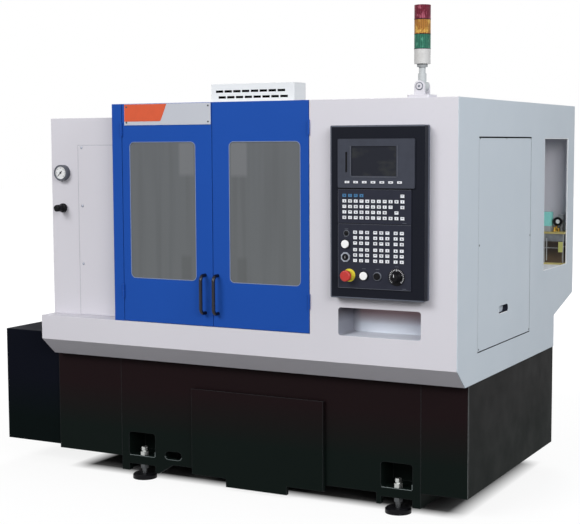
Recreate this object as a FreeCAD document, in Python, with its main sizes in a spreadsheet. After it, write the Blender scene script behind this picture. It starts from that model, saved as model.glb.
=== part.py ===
"""Slant-bed gang-tool turning lathe with sheet-metal enclosure, in millimetres.

Every piece is drawn in the machine's own frame: X runs to the operator's right and is 0 at the right
side sheet, Y runs to the back and is 0 at the front sheet, Z is up and is 0 at the floor. Each body's
Placement then carries it to the part's origin, the middle of its footprint on the floor. Pieces on the
slanted bed are drawn flat (Y up the slope, Z square to it) and tilted by their Placement.
"""
import FreeCAD, Part
import math
import os
import re
import Sketcher

V = FreeCAD.Vector

SIZES = {
    # enclosure
    "overall_length": 2368,      # motor cover's left end to the right side sheet
    "cover_reach": 342,          # motor cover's left end beyond the white enclosure
    "cabinet_depth": 1605,       # front sheet to rear sheet
    "cabinet_height": 1700,      # floor to roof
    "housing_drop": 56,          # left housing's top below the roof
    "housing_width": 411,        # left housing
    "housing_setback": 96,       # left housing's front behind the front sheet
    "right_width": 642,          # control section
    "post_width": 50,            # fixed post at the left door's hinge
    "leaf_gap": 3,               # gap beside a leaf
    "leaf_lift": 2,              # gap under a leaf
    "leaf_thickness": 30,
    "sheet": 3,                  # enclosure sheet
    "face_drop": 109,            # upright face of the skirt, down from the sill
    "slope_drop": 78,            # sloping face of the skirt, down from its upright face
    "slope_depth": 90,           # how far the sloping face goes back
    "rear_foot_drop": 37,        # foot of the rear overhang below the sill
    "rear_slope_rise": 42,       # top of the rear overhang's slope above the sill
    # base
    "base_front": 138,           # base behind the front sheet
    "base_depth": 1297,          # front sheet to the back of the base
    "base_low": 95,              # lower edge of the base sheets
    "bed_overlap": 71,           # base casting's left face beyond the housing's right side
    "bed_right": 207,            # right face of the base casting, from the right side
    "bed_low": 31,               # lower edge of the base casting
    "bed_wall": 26,
    "bed_deck": 36,              # thickness of the casting's top plate
    "arch_height": 78,           # lower edge of the casting between its feet
    "foot_block": 198,           # width of a foot block
    "foot_bay_width": 142,       # pocket over a levelling foot
    "foot_bay_height": 106,
    "foot_bay_depth": 130,
    "foot_plate_low": 64,        # underside of the plate that a foot carries
    "foot_plate_top": 105,
    "foot_inset": 111,           # foot's axis from the casting's end face
    "foot_setback": 20,          # foot's axis behind the base front
    "rear_foot_inset": 110,      # rear foot's axis before the base's back face
    "pad_radius": 55,
    "pad_height": 22,
    "stud_radius": 12,
    "stud_top": 144,
    "head_height": 16,           # hexagon head on each stud
    "head_radius": 15,
    "nut_radius": 20,            # across corners
    "nut_height": 18,
    "stud_clearance": 0.5,
    "lift_hole_width": 87,       # oblong lifting hole beside the left foot
    "lift_hole_height": 36,
    "lift_hole_inset": 279,      # lifting hole from the casting's left face
    "lift_hole_z": 122,
    # chip drawer
    "drawer_right": 642,
    "drawer_inset": 390,         # drawer's left edge from the casting's left face
    "drawer_low": 55,
    "drawer_drop": 115,          # drawer's top below the deck
    "drawer_clear_height": 90,   # underside of the drawer's box above the floor
    "drawer_proud": 20,          # drawer front before the base front
    "drawer_lap": 14,            # drawer front's overlap on the base
    "drawer_seat": 1,            # gap between drawer front and base
    "drawer_depth": 700,
    "drawer_wall": 3,
    "drawer_box_height": 250,
    "tongue_inset": 176,         # tongue's sides from the drawer's
    "drawer_side_gap": 12,       # drawer box to the opening's edge
    "tongue_low": 18,
    "runner_width": 30,
    "runner_height": 12,
    "runner_gap": 0.3,
    # motor cover on the left end
    "cover_setback": 158,
    "cover_depth": 740,
    "cover_low": 107,
    "cover_rise": 84,            # cover's top above the deck
    "base_panel_reach": 15,      # left base sheet beyond the enclosure
    # doors
    "window_margin": 40,         # window to the leaf's hinge edge
    "window_spare": 123,         # window narrower than its leaf
    "window_rise": 196,          # window's lower edge above the sill
    "window_drop": 167,          # window's upper edge below the roof
    "window_corner": 20,
    "window_lap": 14,
    "window_glass": 6,
    "skin": 2,                   # door skin
    "handle_reach": 46,
    "handle_rise": 52,           # handle's lower end above the sill
    "handle_length": 177,
    "handle_radius": 7.5,
    "handle_inset_left": 38,
    "handle_inset_right": 22,
    "knuckle_radius": 5,
    "knuckle_length": 60,
    "knuckle_clearance": 0.3,
    "hinge_rise": 105,           # lower hinge above the sill
    "hinge_drop": 140,           # upper hinge below the roof
    "hinge_leaf": 1.2,
    "hinge_leaf_depth": 24,
    "plate_height": 91,
    "plate_spare": 17,           # nameplate narrower than its leaf
    "plate_inset": 12,
    "plate_thickness": 2,
    "rivet_radius": 4,
    "rivet_height": 1.5,
    # control panel
    "bezel_left": 522,
    "bezel_right": 118,
    "bezel_rise": 164,           # bezel above the sill
    "bezel_height": 686,
    "bezel_depth": 52,
    "bezel_wall": 3,
    "unit_left": 486,
    "unit_right": 172,
    "display_right": 158,
    "display_drop": 53,          # display below the bezel's top
    "display_height": 193,
    "display_thickness": 8,
    "screen_left": 426,
    "screen_right": 234,
    "screen_drop": 29,           # screen below the display's top
    "screen_height": 116,
    "screen_depth": 4,
    "card_slot_x": 448,
    "keypad_drop": 7,            # keypad below the display
    "keypad_height": 133,
    "operator_drop": 2,          # operator unit below the keypad
    "operator_height": 257,
    "keypad_thickness": 5,
    "key_width": 18,
    "key_height": 14,
    "key_travel": 2,             # how far a key top stands out
    "key_pitch": 24.9,
    "key_row_pitch": 21.8,
    "key_first_x": 457,
    "key_row_drop": 23,          # first row of keys below the keypad's top
    "soft_key_pitch": 37.5,
    "soft_key_first_x": 444,
    "soft_key_rise": 23,         # soft keys above the display's lower edge
    "soft_key_width": 20,
    "soft_key_height": 9,
    "panel_key_pitch": 26,
    "panel_key_group": 35,
    "panel_key_first_x": 410,
    "panel_row_drop": 33,        # first row of keys below the operator unit's top
    "panel_row_pitch": 21.5,
    "panel_row_gap": 4.5,        # more space between the upper and lower three rows
    "panel_lamp_radius": 10,
    "control_rise": 52,          # lower row of controls above the unit's lower edge
    "stop_x": 436,
    "stop_radius": 22,
    "stop_height": 45,
    "stop_stem": 13,
    "stop_ring": 26,
    "stop_travel": 6,
    "stop_collar": 22,           # collar under the mushroom head
    "button_collar": 5,
    "lock_height": 8,
    "button_radius": 14,
    "white_radius": 16,          # white buttons
    "button_height": 11,
    "button_stem": 10,
    "button_travel": 3,
    "upper_button_x": 452,
    "upper_button_rise": 176,    # upper button above the unit's lower edge
    "lower_button_x": 372,
    "dark_button_x": 314,
    "key_lock_rise": 124,        # key switch above the unit's lower edge
    "key_lock_collar": 20.5,     # across its octagon's corners, half
    "lock_collar": 5,
    "key_lock_radius": 13,
    "knob_x": 232,
    "knob_radius": 21,
    "knob_height": 32,
    "dial_radius": 31,
    "dial_thickness": 2,
    "control_clearance": 0.3,
    # tray under the panel
    "tray_left": 513,
    "tray_right": 153,
    "tray_rise": 3,              # tray above the sill
    "tray_height": 115,
    "tray_corner": 12,
    "tray_depth": 150,
    # right side
    "access_front": 229,
    "access_back": 914,
    "access_rise": 41,           # access panel above the skirt's fold
    "access_drop": 151,          # access panel's top below the roof
    "access_gap": 3,
    "access_top_gap": 6,
    "access_thickness": 2.5,
    "lip_width": 20,
    "slot_y": 551,
    "slot_rise": 145,            # slot above the access panel's lower edge
    "slot_width": 120,
    "slot_height": 34,
    "niche_inset": 490,          # niche's front edge before the cabinet's back
    "niche_back_inset": 105,
    "niche_rise": 189,           # niche above the sill
    "niche_drop": 156,           # niche's top below the roof
    "niche_width": 300,
    "screw_radius": 4,
    "screw_head": 0.5,
    "screw_pitch": 265,          # left panel's screws
    # left housing
    "left_access_thickness": 1.5,
    "seam_inset": 152,           # left access panel from the enclosure's left end
    "left_access_drop": 124,     # its top below the housing's
    "gauge_inset": 69,           # gauge and regulator from the enclosure's left end
    "gauge_rise": 651,           # above the sill
    "regulator_rise": 490,       # above the sill
    "gauge_radius": 36,
    "gauge_depth": 28,
    "gauge_stem": 7,
    "regulator_radius": 21,
    "regulator_length": 52,
    "regulator_stem": 9,
    "regulator_gap": 5,          # collar under the knob
    # roof
    "vent_left": 1176,
    "vent_right": 772,
    "vent_front": 120,
    "vent_depth": 102,
    "vent_height": 80,
    "vent_slot_width": 34,
    "vent_slot_height": 8,
    "vent_pitch": 43,
    "vent_count": 8,
    "vent_first": 24,            # first slot of the upper row from the cover's left end
    "vent_row_rise": 19,         # lower row of slots above the roof
    "vent_row_gap": 25,
    "vent_row_shift": 13,
    "tower_x": 176,
    "tower_y": 60,
    "lens_radius": 32,
    "lens_height": 57,
    "lens_count": 3,
    "lens_groove": 2,
    "tower_base_height": 58,
    "tower_base_rise": 132,      # lamp's foot above the roof
    "tower_sleeve_length": 50,   # from the pivot up
    "tower_pole_radius": 13,
    "tower_foot_width": 92,
    "tower_foot_height": 12,
    "tower_ear_width": 58,
    "tower_pivot_height": 33,
    "tower_pivot_radius": 6,
    "tower_ear": 8,
    "tower_clearance": 0.3,
    "tower_eye": 22,             # radius of the ears and of the pole's eye
    "tower_sleeve_radius": 16.5,
    "tower_collar_radius": 21,
    "tower_collar_height": 12,
    # rear
    "guard_space": 153,          # electrical cabinet behind the chip guard
    "cabinet_inset": 306,        # electrical cabinet from the enclosure's left end
    "cabinet_rise": 53,          # above the overhang's slope
    "cabinet_drop": 80,          # its top below the roof
    "cabinet_lip": 30,
    "cabinet_door_lap": 18,
    "cabinet_door_thickness": 20,
    "rear_knuckle": 6,
    "rear_hinge_rise": 140,      # lower hinge above the cabinet's floor
    "rear_hinge_top_height": 180,  # upper hinge below its top
    "pin_radius": 2.5,
    "switch_inset": 110,
    "switch_drop": 220,          # main switch below the cabinet's top
    "switch_radius": 34,
    "switch_height": 35,
    # lubricator
    "tank_depth": 105,
    "tank_inset": 23,            # tank before the cabinet's back
    "tank_right": 12,
    "tank_width": 135,
    "tank_height": 150,
    "tank_flange": 10,
    "pump_width": 56,
    "pump_dial_radius": 20,
    "pump_height": 95,
    # drive train
    "slant": 45,                 # bed's slope in degrees
    "spindle_y": 430,
    "spindle_rise": 335,         # spindle above the sill
    "spindle_height": 230,       # spindle axis above the slanted face
    "spindle_radius": 45,
    "spindle_bore": 23,
    "spindle_inset": 156,        # spindle's end from the enclosure's left end
    "nose_inset": 135,           # spindle nose from the housing's right side
    "headstock_overlap": 65,     # headstock's left face beyond the housing's right side
    "nose_radius": 60,
    "nose_length": 14,
    "chuck_radius": 56,
    "chuck_length": 64,
    "running_clearance": 0.05,
    "headstock_width": 220,
    "headstock_top": 330,
    "bearing_cap": 10,           # cap on the headstock's rear face
    "cap_radius": 72,
    "lock_nut_width": 16,
    "bed_end": 800,
    "bed_reach_down": 300,
    "bed_reach_up": 420,
    "bed_back": 60,
    "casting_wall": 38,
    "pulley_width": 60,
    "pulley_inset": 176,         # pulleys from the enclosure's left end
    "motor_drop": 198,           # motor's axis below the deck
    "motor_inset": 38,           # motor from the cover's left end
    "motor_length": 430,
    "pulley_radius": 90,
    "belt_thickness": 7,
    "belt_gap": 0.3,
    "belt_side": 5,
    "motor_size": 260,
    "motor_corner": 40,
    "motor_shaft_radius": 24,
    "shaft_hidden": 60,          # rotor shaft inside the motor
    "terminal_height": 40,
    "shelf_thickness": 24,
    "shelf_width": 320,
    # slides
    "rail_spacing": 300,
    "rail_width": 34,
    "rail_height": 30,
    "rail_right": 830,
    "rail_inset": 40,            # rails' left end from the spindle nose
    "block_width": 90,
    "slide_clearance": 0.3,
    "saddle_length": 300,
    "saddle_shift": 110,         # saddle's middle, from the middle between nose and rails' end, twice
    "saddle_down": 230,
    "saddle_up": 330,
    "saddle_low": 36,
    "saddle_top": 100,
    "saddle_bracket": 30,
    "screw_axis": 18,
    "z_screw_radius": 12.5,
    "bearing_length": 25,
    "bearing_width": 80,
    "bearing_height": 48,
    "screw_end": 12,             # screw's end inside its motor
    "shoe_lift": 6,
    "nut_size": 56,
    "z_motor_size": 110,
    "z_motor_length": 100,
    "cross_rail_spacing": 200,
    "cross_rail_width": 28,
    "cross_rail_height": 26,
    "cross_block_width": 64,
    "slide_half_length": 150,
    "slide_half_width": 130,
    "slide_low": 130,
    "slide_top": 175,
    "x_screw_radius": 10,
    "x_screw_axis": 15,
    "x_motor_size": 100,
    "x_motor_length": 130,
    "holder_pitch": 70,
    "holder_count": 4,
    "holder_width": 44,
    "holder_length": 120,
    "tool_size": 16,
    "tool_overhang": 60,
    # chamber
    "guard_gap": 6,
    "guard_inset": 40,           # guard's left wall from the housing
    "guard_margin": 13,          # its right wall from the control section
    "guard_behind": 150.4,      # its rear wall beyond the bed's back
}

LAYOUT = {
    "side_x": "overall_length / 2",
    "front_reach": "bezel_depth + keypad_thickness + stop_height",
    "rear_reach": "cabinet_depth + cabinet_door_thickness + switch_height",
    "front_y": "front_reach - (front_reach + rear_reach) / 2",
    # enclosure and doors, from the right side
    "cabinet_length": "overall_length - cover_reach",
    "housing_height": "cabinet_height - housing_drop",
    "housing_right": "cabinet_length - housing_width",
    "post_right": "housing_right - post_width",
    "leaf_width": "(post_right - right_width - 3 * leaf_gap) / 2",
    "door_right": "right_width + leaf_gap",
    "door_seam_right": "door_right + leaf_width",
    "door_seam_left": "door_seam_right + leaf_gap",
    "door_left": "door_seam_left + leaf_width",
    # heights of the folded skirt and the rear overhang
    "skirt_top": "cabinet_height * 149 / 340",
    "skirt_face": "skirt_top - face_drop",
    "skirt_low": "skirt_face - slope_drop",
    "rear_low": "skirt_top - rear_foot_drop",
    "rear_high": "skirt_top + rear_slope_rise",
    "deck_top": "skirt_low + 0",
    # base
    "bed_left": "housing_right + bed_overlap",
    "left_foot_x": "0 - bed_left + foot_inset",
    "right_foot_x": "0 - bed_right - foot_inset + 4",
    "front_foot_y": "base_front + foot_setback",
    "rear_foot_y": "base_depth - rear_foot_inset",
    "lift_hole_x": "bed_left - lift_hole_inset",
    "drawer_left": "bed_left - drawer_inset",
    "drawer_top": "deck_top - drawer_drop",
    "tongue_left": "drawer_left - tongue_inset",
    "tongue_right": "drawer_right + tongue_inset",
    "cover_top": "deck_top + cover_rise",
    "base_panel_left": "cabinet_length + base_panel_reach",
    # door fittings
    "leaf_low": "skirt_top + leaf_lift",
    "hinge_y": "0 - knuckle_radius - 0.5",
    "left_hinge_x": "0 - post_right + leaf_gap / 2",
    "right_hinge_x": "0 - right_width - leaf_gap / 2",
    "window_width": "leaf_width - window_spare",
    "window_low": "skirt_top + window_rise",
    "window_height": "cabinet_height - window_drop - window_low",
    "handle_low": "skirt_top + handle_rise",
    "handle_high": "handle_low + handle_length",
    "hinge_low": "skirt_top + hinge_rise",
    "hinge_high": "cabinet_height - hinge_drop",
    "plate_width": "leaf_width - plate_spare",
    # control panel and tray
    "panel_face": "0 - bezel_depth - keypad_thickness",
    "bezel_low": "skirt_top + bezel_rise",
    "bezel_high": "bezel_low + bezel_height",
    "display_high": "bezel_high - display_drop",
    "display_low": "display_high - display_height",
    "screen_high": "display_high - screen_drop",
    "screen_low": "screen_high - screen_height",
    "soft_key_z": "display_low + soft_key_rise",
    "keypad_high": "display_low - keypad_drop",
    "keypad_low": "keypad_high - keypad_height",
    "key_top_row": "keypad_high - key_row_drop",
    "operator_high": "keypad_low - operator_drop",
    "operator_low": "operator_high - operator_height",
    "panel_key_top_row": "operator_high - panel_row_drop",
    "control_row": "operator_low + control_rise",
    "upper_button_z": "operator_low + upper_button_rise",
    "key_lock_z": "operator_low + key_lock_rise",
    "tray_low": "skirt_top + tray_rise",
    "tray_high": "tray_low + tray_height",
    # side sheets
    "access_low": "skirt_face + access_rise",
    "access_high": "cabinet_height - access_drop",
    "slot_z": "access_low + slot_rise",
    "niche_front": "cabinet_depth - niche_inset",
    "niche_back": "cabinet_depth - niche_back_inset",
    "niche_low": "skirt_top + niche_rise",
    "niche_high": "cabinet_height - niche_drop",
    "left_access_seam": "cabinet_length - seam_inset",
    "left_access_top": "housing_height - left_access_drop",
    "gauge_x": "cabinet_length - gauge_inset",
    "gauge_z": "skirt_top + gauge_rise",
    "regulator_z": "skirt_top + regulator_rise",
    # roof and rear
    "vent_row_low": "cabinet_height + vent_row_rise",
    "tower_low": "cabinet_height + tower_foot_height",
    "tower_pivot_z": "tower_low + tower_pivot_height",
    "tower_sleeve_high": "tower_pivot_z + tower_sleeve_length",
    "tower_base_low": "cabinet_height + tower_base_rise",
    "cabinet_left": "cabinet_length - cabinet_inset",
    "cabinet_low": "rear_high + cabinet_rise",
    "cabinet_high": "cabinet_height - cabinet_drop",
    "rear_hinge_low": "cabinet_low + rear_hinge_rise",
    "rear_hinge_high": "cabinet_high - rear_hinge_top_height",
    "switch_z": "cabinet_high - switch_drop",
    "tank_back": "cabinet_depth - tank_inset",
    # spindle drive and slides
    "spindle_z": "skirt_top + spindle_rise",
    "spindle_left": "cabinet_length - spindle_inset",
    "nose_left": "housing_right - nose_inset",
    "headstock_left": "housing_right + headstock_overlap",
    "pulley_left": "cabinet_length - pulley_inset",
    "motor_z": "deck_top - motor_drop",
    "motor_left": "overall_length - motor_inset",
    "motor_right": "motor_left - motor_length",
    "bed_point_y": "spindle_y + spindle_height * sin(slant * 1 deg)",
    "bed_point_z": "spindle_z - spindle_height * cos(slant * 1 deg)",
    "rail_left": "nose_left - rail_inset",
    "rail_y": "rail_spacing / 2",
    "saddle_left": "(nose_left + rail_right - saddle_shift) / 2 + saddle_length / 2",
    "saddle_right": "saddle_left - saddle_length",
    "saddle_x": "0 - (saddle_left + saddle_right) / 2",
    "cross_rail_x": "cross_rail_spacing / 2",
    "guard_left": "housing_right - guard_inset",
    "guard_right": "right_width + guard_margin",
    "guard_back": "bed_point_y + bed_reach_up * cos(slant * 1 deg) + bed_back + guard_behind",
    "cabinet_recess": "cabinet_depth - sheet - guard_back - guard_space",
}

doc = FreeCAD.newDocument("turning_lathe")
sheet = doc.addObject("Spreadsheet::Sheet", "sizes")
layout = doc.addObject("Spreadsheet::Sheet", "layout")
NAME = re.compile(r"[a-z][a-z0-9_]*")


def full(formula):
    """The formula with each name written as its sheet's cell."""
    def cell(found):
        word = found.group()
        if word in SIZES:
            return "sizes." + word
        return "layout." + word if word in LAYOUT else word
    return NAME.sub(cell, str(formula))


def number(formula):
    """The formula's present value."""
    return float(sheet.evalExpression(full(formula)))


def size(name):
    """A size or a height that follows from the sizes."""
    return number(name)


def fill_sheets():
    for row, (name, value) in enumerate(SIZES.items(), 1):
        sheet.set(f"A{row}", name)
        sheet.set(f"B{row}", str(value))
        sheet.setAlias(f"B{row}", name)
    doc.recompute()
    for row, (name, formula) in enumerate(LAYOUT.items(), 1):
        layout.set(f"A{row}", name)
        layout.set(f"B{row}", "=" + full(formula).replace("layout.", ""))
        layout.setAlias(f"B{row}", name)
        doc.recompute()


PARTS = []


def place(part, tilted=False):
    """Bind a part's Placement: to the machine's frame, or to the slanted bed's."""
    if tilted:
        part.Placement = FreeCAD.Placement(V(), FreeCAD.Rotation(V(1, 0, 0), size("slant")))
        part.setExpression("Placement.Rotation.Angle", full("slant * 1 deg"))
    part.setExpression("Placement.Base.x", full("side_x"))
    part.setExpression("Placement.Base.y", full("front_y + bed_point_y" if tilted else "front_y"))
    if tilted:
        part.setExpression("Placement.Base.z", full("bed_point_z"))


def new_body(name, tilted=False, group=False):
    part = doc.addObject("PartDesign::Body", name)
    part.Label = name
    part.AllowCompound = group
    place(part, tilted)
    PARTS.append(part)
    return part


QUEUE = []


def tie(kind, *args):
    """Queue a constraint without a size."""
    QUEUE.append((Sketcher.Constraint(kind, *args), None))


def constrain(kind, *args):
    """Queue a constraint whose last argument is a formula, bound to the sheet once it is added."""
    QUEUE.append((Sketcher.Constraint(kind, *args[:-1], number(args[-1])), full(args[-1])))


def add_queued(drawing):
    """Add the queued constraints in one go, then bind their formulas."""
    first = drawing.ConstraintCount
    drawing.addConstraint([item for item, formula in QUEUE])
    for index, (item, formula) in enumerate(QUEUE, first):
        if formula:
            drawing.setExpression(f"Constraints[{index}]", formula)
    QUEUE.clear()


def put_point(item, end, x, y):
    constrain("DistanceX", -1, 1, item, end, x)
    constrain("DistanceY", -1, 1, item, end, y)


def outline(drawing, corners):
    """Straight lines round the corners; returns the first line's index."""
    spots = [V(number(x), number(y), 0) for x, y in corners]
    first, count = drawing.GeometryCount, len(spots)
    drawing.addGeometry([Part.LineSegment(spots[index], spots[(index + 1) % count]) for index in range(count)])
    for index in range(count):
        tie("Coincident", first + index, 2, first + (index + 1) % count, 1)
    return first


def polygon(*corners):
    def draw(drawing):
        first = outline(drawing, corners)
        for index, corner in enumerate(corners):
            put_point(first + index, 1, *corner)
    return draw


def rectangle(left, low, right, high):
    def draw(drawing):
        first = outline(drawing, ((left, low), (right, low), (right, high), (left, high)))
        for index in range(4):
            tie("Vertical" if index % 2 else "Horizontal", first + index)
        put_point(first, 1, left, low)
        put_point(first + 2, 1, right, high)
    return draw


def disc(x, y, radius):
    def draw(drawing):
        item = drawing.addGeometry(Part.Circle(V(number(x), number(y), 0), V(0, 0, 1), number(radius)))
        put_point(item, 3, x, y)
        constrain("Radius", item, radius)
    return draw


def rounded(left, low, right, high, radius):
    """A rectangle with round corners."""
    def draw(drawing):
        x0, y0, x1, y1, r = (number(value) for value in (left, low, right, high, radius))
        turn = math.pi / 2
        ends = [((x0 + r, y0), (x1 - r, y0)), ((x1, y0 + r), (x1, y1 - r)),
                ((x1 - r, y1), (x0 + r, y1)), ((x0, y1 - r), (x0, y0 + r))]
        hubs = [(x1 - r, y0 + r, -turn), (x1 - r, y1 - r, 0), (x0 + r, y1 - r, turn), (x0 + r, y0 + r, 2 * turn)]
        sides = [drawing.addGeometry(Part.LineSegment(V(*a, 0), V(*b, 0))) for a, b in ends]
        arcs = [drawing.addGeometry(Part.ArcOfCircle(Part.Circle(V(x, y, 0), V(0, 0, 1), r), start, start + turn))
                for x, y, start in hubs]
        for index in range(4):
            tie("Tangent", sides[index], 2, arcs[index], 1)
            tie("Tangent", arcs[index], 2, sides[(index + 1) % 4], 1)
            tie("Vertical" if index % 2 else "Horizontal", sides[index])
        for arc in arcs[1:]:
            tie("Equal", arcs[0], arc)
        constrain("Radius", arcs[0], radius)
        put_point(arcs[1], 3, f"({right}) - ({radius})", f"({high}) - ({radius})")
        put_point(arcs[3], 3, f"({left}) + ({radius})", f"({low}) + ({radius})")
    return draw


def sketch(part, plane, start, shapes):
    """A sketch of closed shapes on a plane of the part's own origin, start away from it."""
    drawing = part.newObject("Sketcher::SketchObject", part.Name + "_sketch")
    support = next(item for item in part.Origin.OriginFeatures if item.Role == plane + "_Plane")
    drawing.AttachmentSupport = [(support, "")]
    drawing.MapMode = "FlatFace"
    way = "0 - " if plane == "XZ" else ""
    drawing.setExpression("AttachmentOffset.Base.z", full(f"{way}({start})"))
    for shape in shapes:
        shape(drawing)
    add_queued(drawing)
    return drawing


def volume(part):
    return part.Shape.Volume if part.Tip and not part.Shape.isNull() else 0.0


def pad(part, plane, start, length, *shapes):
    """Add material from start, over length, along the plane's positive axis."""
    before = volume(part)
    drawing = sketch(part, plane, start, shapes)
    feature = part.newObject("PartDesign::Pad", part.Name + "_pad")
    feature.Profile = drawing
    feature.setExpression("Length", full(length))
    feature.Reversed = plane == "XZ"
    doc.recompute()
    if volume(part) <= before:
        raise RuntimeError(f"{feature.Name} adds nothing")
    return feature


def pocket(part, plane, start, length, *shapes):
    """Cut from start, over length, along the plane's positive axis."""
    before = volume(part)
    drawing = sketch(part, plane, start, shapes)
    feature = part.newObject("PartDesign::Pocket", part.Name + "_pocket")
    feature.Profile = drawing
    feature.setExpression("Length", full(length))
    feature.Reversed = plane != "XZ"
    doc.recompute()
    if volume(part) >= before:
        raise RuntimeError(f"{feature.Name} cuts nothing")
    return feature


def edges_where(feature, test):
    return [f"Edge{index}" for index, edge in enumerate(feature.Shape.Edges, 1) if test(edge)]


def along(way, tolerance=1e-4):
    """A test for straight edges that run along a direction."""
    def test(edge):
        return (edge.Curve.TypeId == "Part::GeomLine"
                and edge.tangentAt(edge.FirstParameter).cross(V(*way)).Length < tolerance)
    return test


def soften(part, feature, radius, test, kind="Fillet"):
    """Fillet or chamfer the feature's edges that pass the test."""
    names = edges_where(feature, test)
    dressed = part.newObject("PartDesign::" + kind, part.Name + "_" + kind.lower())
    dressed.Base = (feature, names)
    dressed.setExpression("Radius" if kind == "Fillet" else "Size", full(radius))
    doc.recompute()
    return dressed


# --- base ---------------------------------------------------------------------------------------

def make_bed_base():
    """Box casting with foot pockets at its corners, a deck with a chip chute, and a motor shelf."""
    part = new_body("bed_base")
    pad(part, "XY", "bed_low", "deck_top - bed_low",
        rectangle("0 - bed_left", "base_front", "0 - bed_right", "base_depth"))
    pocket(part, "XY", "bed_low", "deck_top - bed_deck - bed_low",
           rectangle("0 - bed_left + bed_wall", "base_front + bed_wall",
                     "0 - bed_right - bed_wall", "base_depth - bed_wall"))
    block_top = "foot_plate_top + foot_bay_height + bed_wall - foot_plate_low"
    block_back = "base_front + foot_bay_depth + bed_wall"
    rear_block = "base_depth - 2 * rear_foot_inset"
    for left, right in (("0 - bed_left + bed_wall", "0 - bed_left + foot_block"),
                        ("0 - bed_right - foot_block", "0 - bed_right - bed_wall")):
        pad(part, "XY", "foot_plate_low", block_top,
            rectangle(left, "base_front + bed_wall", right, block_back))
        pad(part, "XY", "foot_plate_low", "foot_plate_top - foot_plate_low",
            rectangle(left, rear_block, right, "base_depth - bed_wall"))
    for middle in ("left_foot_x", "right_foot_x"):
        bay = (f"{middle} - foot_bay_width / 2", f"{middle} + foot_bay_width / 2")
        pocket(part, "XZ", "base_front - 1", "foot_bay_depth + 1",
               rounded(bay[0], "foot_plate_top", bay[1], "foot_plate_top + foot_bay_height", "bed_wall / 2"))
        pocket(part, "XZ", "base_front - 1", "bed_wall + 2",
               rectangle(bay[0], "bed_low - 1", bay[1], "foot_plate_low"))
        pocket(part, "XY", "foot_plate_low - 1", "foot_plate_top - foot_plate_low + 2",
               disc(middle, "front_foot_y", "stud_radius + stud_clearance"),
               disc(middle, "rear_foot_y", "stud_radius + stud_clearance"))
    add_base_openings(part)
    pad(part, "XY", "motor_z - motor_size / 2 - shelf_thickness", "shelf_thickness",
        rectangle("0 - motor_left", "spindle_y - shelf_width / 2", "0 - bed_left + 1", "spindle_y + shelf_width / 2"))
    for side in ("0 - drawer_left + drawer_lap - runner_width", "0 - drawer_right - drawer_lap - runner_width"):
        pad(part, "XY", "drawer_clear_height - runner_gap - runner_height", "runner_height",
            rectangle(side, "base_front + bed_wall - 1", f"{side} + 2 * runner_width",
                      "base_depth - bed_wall + 1"))


def add_base_openings(part):
    """The low arch between the feet, drawer mouth, chip chute and lifting hole."""
    drawer = ("0 - drawer_left + drawer_lap", "0 - drawer_right - drawer_lap")
    pocket(part, "XZ", "base_front - 1", "base_depth - base_front + 2",
           polygon(("0 - bed_left + foot_block", "bed_low - 1"), ("0 - bed_right - foot_block", "bed_low - 1"),
                   ("0 - bed_right - foot_block", "arch_height"),
                   ("0 - bed_left + foot_block + arch_height", "arch_height")))
    pocket(part, "XZ", "base_front - 1", "bed_wall + 2",
           rectangle(drawer[0], "bed_low - 1", drawer[1], "drawer_top - drawer_lap"))
    pocket(part, "XY", "deck_top - bed_deck - 1", "bed_deck + 2",
           rectangle(f"{drawer[0]} + bed_wall", "base_front + 2 * bed_wall", f"{drawer[1]} - bed_wall",
                     "bed_point_y - bed_reach_down * cos(slant * 1 deg) - bed_wall"))
    half = "lift_hole_width / 2"
    pocket(part, "XZ", "base_front - 1", "bed_wall + 2",
           rounded(f"0 - lift_hole_x - {half}", "lift_hole_z - lift_hole_height / 2",
                   f"0 - lift_hole_x + {half}", "lift_hole_z + lift_hole_height / 2", "lift_hole_height / 2 - 1"))


def foot_spots():
    return [(x, y) for x in ("left_foot_x", "right_foot_x") for y in ("front_foot_y", "rear_foot_y")]


def hexagon(x, y, radius):
    turns = [math.radians(60 * index) for index in range(6)]
    return polygon(*[(f"{x} + {radius} * {math.cos(turn):.6f}", f"{y} + {radius} * {math.sin(turn):.6f}")
                     for turn in turns])


def make_levelling_feet():
    """Four feet, each a pad and a headed stud locked by nuts above and below its plate."""
    part = new_body("levelling_feet", group=True)
    spots = foot_spots()
    disc_pad = pad(part, "XY", "0", "pad_height", *[disc(x, y, "pad_radius") for x, y in spots])
    top = number("pad_height")
    soften(part, disc_pad, "pad_height / 4", lambda edge: abs(edge.BoundBox.ZMin - top) < 0.01
           and edge.BoundBox.ZLength < 0.01, "Chamfer")
    pad(part, "XY", "pad_height", "stud_top - pad_height", *[disc(x, y, "stud_radius") for x, y in spots])
    for low in ("foot_plate_top", "foot_plate_low - nut_height"):
        pad(part, "XY", low, "nut_height", *[hexagon(x, y, "nut_radius") for x, y in spots])
    pad(part, "XY", "stud_top - head_height", "head_height", *[hexagon(x, y, "head_radius") for x, y in spots])


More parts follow.
